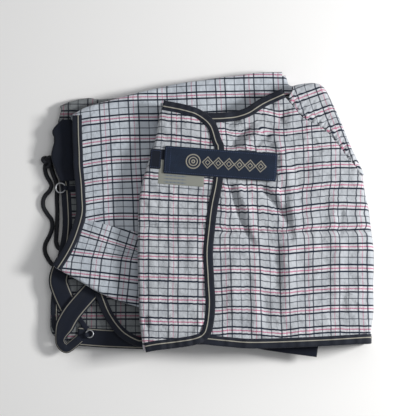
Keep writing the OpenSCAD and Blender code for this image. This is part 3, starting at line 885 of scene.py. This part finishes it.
def ringParts(ring, tab, turn):
    low, high = boxOf(ring)
    centre = (low + high) / 2
    wire = (high[2] - low[2]) / 2
    radius = (high[1] - low[1]) / 2 - wire
    bore = centre[2] - levels(tab)[0] - 1.4
    out = np.array([math.cos(turn), math.sin(turn)])
    half = bore + 0.7
    arc = [(radius - half * math.sin(a), -half * math.cos(a)) for a in np.linspace(0, 1.68 * math.pi, 26)]
    path = [(radius + 20, -half), (radius + 8, -half), *arc, (radius + 7, -half + 1.5),
            (radius + 20, -half + 1.5)]
    path = [(centre[0] + out[0] * r, centre[1] + out[1] * r, centre[2] + z) for r, z in path]
    line = evenly(np.array(path), 0.8)
    across = np.tile(np.array([-out[1], out[0], 0.0]), (len(line), 1))
    up = unit(np.cross(np.gradient(line, axis=0), across))
    return sweep(line, across, flatSection(webbing["tabWide"], webbing["tabThick"]), up)


def makeRingTabs():
    tail = ringParts("tail_ring", "tail_ring_tab", 0.0)
    makeWebbing("tail_ring_tape", tail, plainWebbing, "tail_ring_tab")
    leg = ringParts("strap_ring", "strap_ring_tab", math.radians(webbing["legTabTurn"]))
    makeWebbing("strap_ring_loop_tape", leg, plainWebbing, "strap_ring_tab")
    low, high = boxOf("strap_ring_tape")
    z = high[2] + 0.8
    line = [(low[0] - 1, high[1] + 5, z), ((low[0] + high[0]) / 2, (low[1] + high[1]) / 2, z),
            (high[0] - 2, low[1] + 2, z)]
    makeWebbing("strap_ring_short_tape", ribbon(line, 9, 1.2, 2.0), plainWebbing, "strap_ring_tape")
    for ring in ("strap_ring", "tail_ring"):
        node = frame["nodes"][ring]
        node.data.materials.clear()
        node.data.materials.append(ringMetal)


makeRingTabs()

# Chest section: right chest cloth over the shoulder fold
chest = {"cell": 3.2, "thick": clothThick, "reach": 12.0, "puff": 1.5, "sunk": 2.0,
         "waves": [(1.3, 70, 121)], "creases": [(1.8, 46, 122), (1.1, 24, 123)],
         "dip": (50, 138, 22, 17, 9.0), "foldEnd": 194, "overlap": 40, "neckEdge": 84}

chestFolds = [(30, 118, 84, 166, -5, 6), (48, 108, 104, 158, 3.5, 8), (70, 112, 120, 150, -2.5, 7),
              (22, 150, 60, 176, -4, 7), (36, 132, 70, 152, 2.6, 5), (26, 112, 54, 124, -4, 6),
              (118, 150, 136, 60, 3.4, 9), (112, 120, 118, 60, -2.2, 7), (140, 96, 158, -40, 2.2, 9),
              (32, 66, 62, -34, -5.5, 5), (46, 66, 80, -30, 4, 7), (84, 60, 146, -24, -4.5, 6),
              (98, 62, 162, -16, 4, 8), (128, 60, 150, -70, -2.6, 6), (142, 60, 164, -80, 2.4, 8),
              (56, -14, 80, -66, -3.6, 5), (66, -8, 96, -70, 2.6, 7), (142, 0, 140, -222, 4.2, 13),
              (120, -50, 120, -160, -3.2, 8), (84, -60, 84, -232, 2.6, 11),
              (97, -130, 103, -225, -2.6, 8), (40, -50, 46, -225, 2, 11), (186, 90, 188, -200, 1.8, 14),
              (222, 80, 232, -200, 2.4, 13), (236, 20, 232, -60, -3, 6),
              (242, -110, 236, -190, -2.6, 9), (262, 40, 268, -200, 1.6, 10),
              (205, 150, 150, 120, 1.6, 10), (226, 120, 180, 70, 1.6, 10),
              (140, 196, 120, 150, -2.6, 7), (150, 190, 140, 130, 2.2, 7),
              (250, -60, 216, -110, 1.2, 9), (60, -212, 110, -236, -2, 7)]


def creaseHeight(x, y, at):
    off = y - at
    groove = -4.6 * np.exp(-(off / 2.6) ** 2) + 1.0 * np.exp(-((np.abs(off) - 6) / 4) ** 2)
    pucker = 1.6 * np.sin(2 * math.pi * (x + 0.4 * off) / 9.5 + 1.5 * ripple(x, y, 40, 111))
    return groove + pucker * np.exp(-np.abs(off) / 9)


# how far the strap and the label press the cloth flat: behind and ahead of the joint, and to each side
cover = {"strap": (24, 202, 25), "label": (10, 76, 46), "past": 10.0}


def strapCover(x, y):  # 1 under the closure strap and the label, fading outside them
    past = cover["past"]
    px, py = x - strapAt[0], y - strapAt[1]
    a = px * strapAlong[0] + py * strapAlong[1]
    b = px * strapAcross[0] + py * strapAcross[1]

    def over(start, end, half):
        inside = rise((a + past + start) / past) * rise((end + past - a) / past)
        return inside * rise((half + past - np.abs(b)) / past)

    return np.maximum(over(*cover["strap"]), over(*cover["label"]) * (b < 0))


def chestHeight(x, y):
    z = relief(chestTopZ - chest["sunk"] + chest["puff"] * foldHeight(x, y, chestFolds), x, y, chest)
    z = z + creaseHeight(x, y, crease["chestY"]) * rise((200 - x) / 60)
    z = z - 3.0 * rise((y - 150) / 40) * rise((x - 20) / 40) * rise((130 - x) / 20)
    dipX, dipY, wide, long, deep = chest["dip"]
    z = z - deep * np.exp(-((x - dipX) / wide) ** 2 - ((y - dipY) / long) ** 2)
    flat = np.maximum(rise((30 - x) / 16), strapCover(x, y))
    return z * (1 - flat) + (chestTopZ - 1.0) * flat


def chestWeave(x, y):
    t = np.clip((150 - y) / 350, -0.2, 1.1)
    tops = [-86, -33, 20, 73, 127.7, 178, 228, 275, 328]
    ends = [-74, -21, 31.5, 83.4, 138, 179, 225, 276, 329]
    columns = [a + (b - a) * t for a, b in zip(tops, ends)]
    wave = -5 * np.exp(-((x - 130) / 30) ** 2) + 3.5 * rise((x - 165) / 60) + 0.8 * ripple(x, y, 90, 131)
    rows = [h + wave for h in (-250, -213, -176, -141, -104, -65, -28, 7.7, 46, 83, 118, 150, 186, 222)]
    return between(x, columns) * plaid["across"], between(y, rows) * plaid["down"]


chestSeam = places((frontX, spineY, (-22, -194), (-28, -182), (-43, -163), (-64, -136), (-90, -108),
                   (-124, -90), (-152, -56)))
gussetOuter = places((frontX, spineY, (-22, -194), (-29, -176), (-50, -130), (-71, -80), (-89, -42),
                     (-102, -33), (-124, -34), (-142, -38)))
rightNeck = places((frontX, spineY, (-163, -38), (-201, -55), (-232, -73), (-271, -81), (-320, -80)))
rightHem = places((chestX, hemY, (78, 26), (99, 26)),
                  (frontX, hemY, (-260, 20), (-210, 17), (-95, 21), (-chest["reach"], 26)))
foldLine = places((frontX, hemY, (-12, 30), (-10, 114), (-9, 184)), (frontX, 0, (-15, -15)),
                  (frontX, spineY, (-22, -194)))


def acrossFold(piece):  # bakes the piece's placing into its mesh
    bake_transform(piece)


def makeRightChest():
    cell = chest["cell"]
    bottom = places((chestX, hemY, (40, 32), (99, 31)), (frontX, hemY, (-210, 22), (-95, 26), (-12, 30)))
    # the lower field up to the end of the fold, then the upper field between the overlap and the seam
    endY, overlapX, neckY = spineY - chest["foldEnd"], chestX + chest["overlap"], spineY - chest["neckEdge"]
    middle = [(overlapX, endY), (frontX - 22, endY)]
    left = [(overlapX, hemY + 32), (overlapX, endY)]
    lower = patchGrid(bottom, foldLine, middle, left, cell)
    x, y = lower[..., 0], lower[..., 1]
    low, lowCloth = clothSheet(lower, chestHeight, chestWeave)
    neck = [(overlapX, neckY)] + [(px - 4, py - 6) for px, py in rightNeck[::-1]]
    upperLeft = [(overlapX, endY), (overlapX, neckY)]
    seam = chestSeam[:-1] + [(frontX - 150, spineY - 60), (frontX - 167, spineY - 44)]
    side = smooth(seam)
    upper = fillPatch(smooth(middle), side, smooth(neck), smooth(upperLeft), low.shape[0],
                      int(stations(side)[-1] / cell))
    up, upCloth = clothSheet(upper, chestHeight, chestWeave)
    upCloth += (lowCloth[:, -1:] - upCloth[:, :1])
    below = (endY - low[-1, :, 1]) / 70
    taper = (0.4 + 0.6 * rise(below)) * (0.6 + 0.4 * rise((low[-1, :, 1] - hemY - 30) / 60))
    roll = rollEdge(low[-1], lowCloth[-1], -1, chest["reach"] * taper, 2.4, 30, seed=141)
    grids = [(low, lowCloth), (up, upCloth), roll]
    cloth = meshObject("right_chest_cloth", grids, chestPlaid, chest["thick"])
    acrossFold(cloth)
    finishPiece(cloth, None, "plaid_mesh", "right_chest_panel")


gusset = {"lean": 20, "gather": 9.5, "gatherHigh": 1.7, "bunch": 1.8}


def gussetWeave(x, y):
    turn = math.radians(gusset["lean"])
    return x * math.cos(turn) + y * math.sin(turn), -x * math.sin(turn) + y * math.cos(turn) + 9


def makeGusset():
    inner, outer = evenly(smooth(chestSeam), 2.2), smooth(gussetOuter)
    outer = along(outer, np.linspace(0, 1, len(inner)))
    grid = strip(inner, outer, 22)
    run = stations(inner)
    away = np.linalg.norm(grid - inner[None], axis=2)
    x, y = grid[..., 0], grid[..., 1]
    turn = 2 * math.pi * run / gusset["gather"]
    gather = np.sin(turn + 2.0 * ripple(run, run * 0, 30, 151))[None] * np.exp(-away / 24)
    z = chestHeight(x, y) * 0.35 + (chestTopZ - 2.2) * 0.65 + gusset["gatherHigh"] * gather
    z = z + 1.2 * np.exp(-((away - 9) / 8) ** 2)
    z = z + 1.3 * crumple(x, y, 30, 152) - 1.4 * np.exp(-(away / 2.2) ** 2)
    points = np.dstack([x, y, z])
    u, v = gussetWeave(x, y)
    bunch = gusset["bunch"] * np.cos(turn)[None] * np.exp(-away / 16)
    cloth = np.dstack([u + bunch * 0.7, v + bunch])
    roll = rollEdge(points[-1], cloth[-1], -1, 7, shoulderZ + 2.0, 20, seed=153)
    makePiece("shoulder_gusset_cloth", [(points, cloth), roll], chestPlaid, "front_section", "plaid_mesh",
              "right_shoulder_gusset", thick=clothThick)


print("chest")
makeRightChest()
makeGusset()


def hemWrap(z0, bottom, reach, y):  # the hem tape's way over the shoulder fold
    tall = (z0 - bottom) / 2
    return [(frontX - 12 + reach * math.sin(a), y, z0 - tall * (1 - math.cos(a)))
            for a in np.linspace(0.25, math.pi, 16)]


def makeChestTapes():
    line = evenly(smooth(rightHem), 4.0)
    inward = sideways(line)
    middle = line + inward * 8
    z = chestHeight(middle[:, 0], middle[:, 1])
    hem = np.column_stack([line, z + 0.9])
    wrap = np.array(hemWrap(hem[-1, 2], 2.6, chest["reach"] * 0.6 + 0.8, hemY + 26))
    path = np.vstack([hem[:-1], wrap])
    path = evenly(path, 4.0)
    across = np.tile([0.0, 1.0, 0.0], (len(path), 1))
    flat = sideways(path)
    steep = rise((path[:, 0] - frontX + 30) / 18)[:, None]
    across[:, :2] = flat * (1 - steep) + across[:, :2] * steep
    across = unit(across)
    up = unit(np.cross(np.gradient(path, axis=0), across))
    tape = meshObject("right_hem_tape", [sweep(path, across, bindingSection, up)], navyBinding, wrap=True)
    acrossFold(tape)
    finishPiece(tape, None, "navy_binding", "right_hem_binding")
    neck = [bindingRun(rightNeck, 1, chestHeight, 1.0, seed=161, waver=0.8)]
    for z, back in ((shoulderZ + 16, 3), (shoulderZ + 9, 1)):
        lower = [(x, y - back) for x, y in rightNeck]
        neck.append(bindingRun(lower, 1, flatAt(z, 0.8), 0.0, seed=162 + back))
    makeTape("right_neck_tape", neck, "front_section", "right_neck_binding")


makeChestTapes()

# Lower leaves of the chest section
chestFold = places((chestX, hemY, (11, 24), (2, 97)), (chestX, 0, (0, -33), (5, 44)),
                   (chestX, spineY, (29, -136), (40, -64)))


def makeShoulder():
    left = [(x + 8, y) for x, y in chestFold]
    right = places((frontX, hemY, (-12, 34), (-10, 114), (-10, 184)), (frontX, 0, (-18, -15)),
                   (frontX, spineY, (-30, -194), (-58, -130), (-90, -44), (-142, -40)))
    bottom = [left[0], (frontX - 12, hemY + 34)]
    top = [left[-1], *places((chestX, spineY, (90, -92)), (frontX, spineY, (-271, -90), (-201, -62))),
           right[-1]]
    sheet = patchGrid(bottom, right, top, left, 6.0)
    grids = [clothSheet(sheet, flatAt(shoulderZ + 1.2, 0.25), plainWeave)]
    edge = []
    for z, back in ((shoulderZ + 7, 2), (shoulderZ + 13, 0), (shoulderZ + 19, 3)):
        low = [(chestX + 16, hemY + 30 + back), (frontX - 12, hemY + 30 + back)]
        high = [(chestX + 16, hemY + 110), (frontX - 12, hemY + 110)]
        level = flatAt(z, 0.8, 60, 171 + back)
        grids.append(hemPly(low, high, 6.0, level))
        edge.append(bindingRun([(x, y - 2) for x, y in low], 1, level, 0.0, seed=172))
    makePiece("left_shoulder_cloth", grids, paintedShadePlaid, "front_section", "plaid_shade",
              "left_shoulder_panel", thick=shadeThick)
    edge.append(bindingRun(bottom, 1, flatAt(shoulderZ + 1.6, 0.0), 0.2, seed=173, waver=0.0))
    makeTape("left_shoulder_tape", edge, "front_section")


makeShoulder()

# Left chest: the flap that overlaps, turned over at its left fold
flap = {"cell": 3.2, "thick": clothThick, "reach": 5.0, "puff": 2.1, "sunk": 2.8, "waves": [(0.9, 60, 181)],
        "creases": [(1.7, 44, 182), (1.2, 22, 183)]}

flapFolds = [(-92, 154, -44, 132, 1.6, 5), (-80, 166, -52, 146, -1.2, 5), (-40, 140, 18, 112, -1.2, 4),
             (-98, -18, -72, -36, 1.4, 5), (-56, -30, -44, -70, 1.2, 8), (-6, -180, -30, -228, 2.4, 6),
             (-2, -184, -22, -226, -2, 4), (-112, -180, -106, -210, -1.6, 4),
             (-70, -20, -66, -150, 0.9, 12), (-100, -60, -98, -180, 0.8, 10),
             (-24, -20, -30, -120, 1, 10), (-96, -222, -40, -236, -1.2, 5), (-112, 20, -96, 8, 1.2, 6),
             (-114, -184, -108, -214, -2, 3.5), (-108, -178, -100, -206, 1.4, 5),
             (-44, -56, -8, -112, 1.6, 6), (-52, -44, -16, -96, -1.4, 5),
             (-108, -226, -60, -234, 1.3, 4), (-90, 60, -20, 44, 0.9, 7)]
flapFront = places((chestX, spineY, (45, -59), (88, -68), (113, -77), (137, -99), (148, -129),
                   (153, -145)), (chestX, 0, (151, 59), (142, 10), (137, -28), (133, -76)),
                   (chestX, hemY, (135, 141), (137, 97), (133, 54), (122, 33), (96, 22), (36, 14),
                   (14, 10)))


def flapHeight(x, y):
    z = relief(flapTopZ - flap["sunk"] + flap["puff"] * foldHeight(x, y, flapFolds), x, y, flap)
    z = z + creaseHeight(x, y, crease["flapY"]) * 0.8 - 1.2 * rise((x - chestX - 84) / 60)
    cover = strapCover(x, y)
    return np.clip(z * (1 - cover) + (flapTopZ - 1.0) * cover, flapZ + 0.8, None)


def flapWeave(x, y):
    u = x + 64 - 5 * rise(y / 150) + 0.6 * ripple(x, y, 90, 191)
    slope = 0.03 + 0.07 * rise((y + 20) / 100)
    levels = (-268, -232, -197, -157.5, -118, -81, -46, -11, 28, 63, 98, 134, 172, 209)
    rows = [level - slope * (x + 72) for level in levels]
    return u, between(y, rows) * plaid["down"]


def makeFlap():
    left = [(chestX + 14, hemY + 14)] + [(x + 4, y) for x, y in chestFold[1:]]
    right = places((chestX, hemY, (120, 37), (129, 54), (133, 97), (131, 141)), (chestX, 0, (129, -76),
                   (133, -28), (138, 10), (147, 59)), (chestX, spineY, (149, -145), (143, -129),
                   (134, -102)))
    bottom = places((chestX, hemY, (14, 14), (36, 18), (96, 26), (120, 37)))
    top = places((chestX, spineY, (44, -64), (86, -73), (111, -82), (134, -102)))
    sheet, cloth = clothSheet(patchGrid(bottom, right, top, left, flap["cell"]), flapHeight, flapWeave)
    roll = rollEdge(sheet[0], cloth[0], 1, flap["reach"], shoulderZ + 1.6, 30, seed=201)
    obj = meshObject("left_chest_cloth", [(sheet, cloth), roll], chestPlaid, flap["thick"])
    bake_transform(obj)
    finishPiece(obj, None, "plaid_mesh", "left_chest_panel")
    makeTape("left_front_tape", [bindingRun(flapFront, -1, flapHeight, 0.6, 3.0, 203, 0.3)], "chest_flap",
             "left_front_binding")


print("flap")
makeFlap()


# Closure strap, its badge, base patch, tapes and label, made in the strap's own frame
def strapPoint(a, b, z):
    return np.array([*(strapAt + strapAlong * a + strapAcross * b), z])


def strapSlab(name, start, long, wide, z, thick, material, body, slot, *nodes, corner=3.0, aside=0.0):
    na, nb = max(4, int(long / 3)), max(4, int(wide / 3))
    a = np.r_[0, corner * 0.35, corner, np.linspace(corner, long - corner, na)[1:-1], long - corner,
              long - corner * 0.35, long]
    b = np.r_[-1, np.linspace(-0.94, 0.94, nb), 1] * wide / 2
    grid = np.array([[(s, t) for t in b] for s in a])
    s, t = grid[..., 0], grid[..., 1]
    inset = np.clip(corner - np.minimum(s, long - s), 0, corner)
    trim = corner - np.sqrt(np.clip(corner**2 - inset**2, 0, None))
    t = t * (1 - trim / (wide / 2))
    edge = np.minimum(np.minimum(s, long - s), wide / 2 - np.abs(t))
    top = z + thick * (1 - 0.35 * np.exp(-np.clip(edge, 0, None) / 0.8))
    place = strapAt + (start + s)[..., None] * strapAlong + (t + aside)[..., None] * strapAcross
    upper = np.dstack([place, top])
    lower = np.dstack([place, np.full(s.shape, z)])
    cloth = np.dstack([s, t])
    shell = [(upper, cloth), (lower[:, ::-1], cloth[:, ::-1])]
    for pick in ((0, slice(None)), (-1, slice(None)), (slice(None), 0), (slice(None), -1)):
        shell.append((np.stack([upper[pick], lower[pick]], 0), np.stack([cloth[pick], cloth[pick]], 0)))
    makePiece(name, shell, material, body, slot, *nodes)


def stitchRow(name, path, long, body):
    path = evenly(np.array(path, float), stitch["spacing"])
    wide, up = stitch["wide"], np.array((0.0, 0.0, 1.0))
    d = heading(path)
    side = np.cross(d, up)
    ends = [(-0.5, 0, 0), (0.5, 0, 0), (0, 0.5, 0), (0, -0.5, 0), (0, 0, 0.6), (0, 0, -0.2)]
    verts = np.stack([path + d * a * long + side * b * wide + up * c * wide for a, b, c in ends], 1)
    shape = [(0, 3, 4), (3, 1, 4), (1, 2, 4), (2, 0, 4), (3, 0, 5), (1, 3, 5), (2, 1, 5), (0, 2, 5)]
    faces = [tuple(6 * k + i for i in face) for k in range(len(path)) for face in shape]
    row = addMesh(name, verts.reshape(-1, 3), faces, stitchThread)
    bpy.ops.object.shade_smooth()
    finishPiece(row, body, "strap_cloth")


strap = {"long": 202.0, "wide": 50.0, "edgeStitch": 3.0, "endStitch": 11.0, "sink": 0.8}
stitch = {"spacing": 3.4, "wide": 0.9, "long": 2.6, "baseLong": 2.4, "lift": 0.1}


def makeStrap():
    strapSlab("closure_strap_cloth", 0, strap["long"], strap["wide"], strapZ, strapTopZ - strapZ,
              strapTwill, "strap", "strap_cloth", "closure_strap")
    baseZ, baseTopZ = levels("strap_base")
    patchZ = baseZ - strap["sink"]
    on = ("chest_flap", "strap_cloth")
    # the base patch, and a thin cloth under the strap's root that leaves the strap room to peel
    strapSlab("strap_base_cloth", -25, 20, 36, patchZ, 2.2, flapTwill, *on, "strap_base")
    strapSlab("strap_hinge_cloth", -6, 9, 36, patchZ, 0.75, flapTwill, *on, corner=0.6)
    top, e, w = strapTopZ + stitch["lift"], strap["edgeStitch"], strap["wide"] / 2
    far = strap["long"] - e
    loop = [strapPoint(a, b, top)
            for a, b in ((e, -w + e), (far, -w + e), (far, w - e), (e, w - e), (e, -w + e))]
    inner = [strapPoint(strap["endStitch"], b, top) for b in (-w + e, w - e)]
    for k, path in enumerate((loop, inner)):
        stitchRow(f"strap_stitches_{k}", path, stitch["long"], "strap")
    square = [strapPoint(a, b, baseTopZ + stitch["lift"])
              for a, b in ((-23, -15), (-7, -15), (-7, 15), (-23, 15), (-23, -15))]
    stitchRow("strap_base_stitches", square, stitch["baseLong"], "chest_flap")


# The badge is a plain woven motif: one round rosette and a chain of lozenges in pale thread
badge = {"start": 42.0, "rosetteAt": 10, "rosette": ((12.4, 32, 1.2), (7.4, 32, 1.1), (2.6, 16, 1.3)),
         "lozenges": 6, "firstAt": 36, "apart": 19, "lozenge": ((10.0, 4, 1.3), (4.6, 4, 1.2)),
         "stretch": 0.95}


def makeBadge():
    z = strapTopZ + 0.25
    made = []

    def ring(at, size, corners, thread, stretch=1.0):
        bpy.ops.mesh.primitive_torus_add(major_segments=corners, minor_segments=8, major_radius=size * mm,
                                         minor_radius=thread * mm, location=(0, 0, 0))
        obj = bpy.context.object
        co = np.array([v.co for v in obj.data.vertices]) / mm
        spots = [strapPoint(at + a * stretch, b, z + c * 0.45) * mm for a, b, c in co]
        obj.data.vertices.foreach_set("co", np.array(spots, np.float32).ravel())
        obj.data.update()
        made.append(obj)

    for size, corners, thread in badge["rosette"]:
        ring(badge["start"] + badge["rosetteAt"], size, corners, thread)
    for k in range(badge["lozenges"]):
        for size, corners, thread in badge["lozenge"]:
            at = badge["start"] + badge["firstAt"] + badge["apart"] * k
            ring(at, size, corners, thread, badge["stretch"])
    select(made[0])
    for obj in made:
        obj.select_set(True)
    bpy.ops.object.join()
    woven = bpy.context.object
    woven.name = woven.data.name = "strap_badge_woven"
    woven.data.materials.clear()
    woven.data.materials.append(badgeThread)
    bpy.ops.object.shade_smooth()
    finishPiece(woven, "strap", "badge_weave", "strap_badge")


touchTape = {"start": 149, "long": 48, "wide": 42}
careLabel = {"start": -8, "long": 82, "wide": 44, "aside": -22, "thick": 0.9, "corner": 0.6}


def makeLabelAndTapes():
    strapSlab("care_label_cloth", careLabel["start"], careLabel["long"], careLabel["wide"],
              levels("care_label")[1] - strap["sink"], careLabel["thick"], labelCloth, "chest_flap", "label_cloth",
              "care_label", corner=careLabel["corner"], aside=careLabel["aside"])
    place = (touchTape["start"], touchTape["long"], touchTape["wide"])
    low, high = levels("hook_tape")
    strapSlab("hook_tape_pile", *place, low, high - low - 0.05, hookPile,
              "strap", "touch_tape", "hook_tape")
    low, high = levels("loop_tape")
    strapSlab("loop_tape_pile", *place, low - 0.6, high - low + 0.4, loopPile,
              "front_section", "touch_tape", "loop_tape")


print("strap")
makeStrap()
makeBadge()
makeLabelAndTapes()


# Flat sizes in metres and areas in square metres, of each piece's modelled plies laid side by side
sheets = {
    "left_side_cloth": ((0.482, 1.44), 0.625, [], ["left_side_tape"]),
    "right_inner_cloth": ((0.124, 1.48), 0.165, ["left_side_cloth"], []),
    "right_side_cloth": ((0.49, 0.63), 0.276, ["right_inner_cloth"], ["right_side_tape"]),
    "tail_flap_cloth": ((0.116, 0.081), 0.0085, ["left_side_cloth"], []),
    "left_shoulder_cloth": ((0.459, 0.606), 0.25, ["right_side_cloth"], ["left_shoulder_tape"]),
    "right_chest_cloth": ((0.454, 0.448), 0.183, ["left_shoulder_cloth"],
                          ["right_hem_tape", "right_neck_tape"]),
    "shoulder_gusset_cloth": ((0.176, 0.108), 0.017, ["left_shoulder_cloth"], []),
    "left_chest_cloth": ((0.443, 0.205), 0.082, ["right_chest_cloth"], ["left_front_tape"])}


def declareSheets():
    get = bpy.data.objects.get
    for name, (flat, area, under, tapes) in sheets.items():
        get(name)
        [get(tape) for tape in tapes]


print("sheets")
declareSheets()


# Floor and soft studio light
studio = {"floorTint": 0.86, "sky": (0.98, 0.99, 1.0, 1), "skyLight": 0.32}
lamps = {"key": ((1.75, 0.1, 1.25), 0.45, 46, (1.0, 0.99, 0.97)),
         "fill": ((-1.4, 1.2, 1.9), 1.8, 2, (1, 1, 1)),
         "top": ((0.6, 0.3, 2.5), 1.2, 8, (1, 1, 1))}


def makeStage():
    bpy.ops.mesh.primitive_plane_add(size=8, location=(0, 0, 0))
    floor = bpy.context.object
    floor.name = "floor"
    s = Shader("floor", Roughness=0.9, Specular_IOR_Level=0.1, Base_Color=(*[studio["floorTint"]] * 3, 1))
    floor.data.materials.append(s.material)
    world = bpy.data.worlds.new("studio")
    bpy.context.scene.world = world
    world.use_nodes = True
    sky = world.node_tree.nodes["Background"].inputs
    sky[0].default_value, sky[1].default_value = studio["sky"], studio["skyLight"]
    for name, (place, size, power, colour) in lamps.items():
        data = bpy.data.lights.new(name, "AREA")
        data.size, data.energy, data.color = size, power, colour
        lamp = bpy.data.objects.new(name, data)
        lamp.location = place
        lamp.rotation_euler = (-lamp.location).to_track_quat("-Z", "Y").to_euler()
        bpy.context.collection.objects.link(lamp)
    bpy.context.scene.view_settings.view_transform = "Standard"


print("stage")
makeStage()
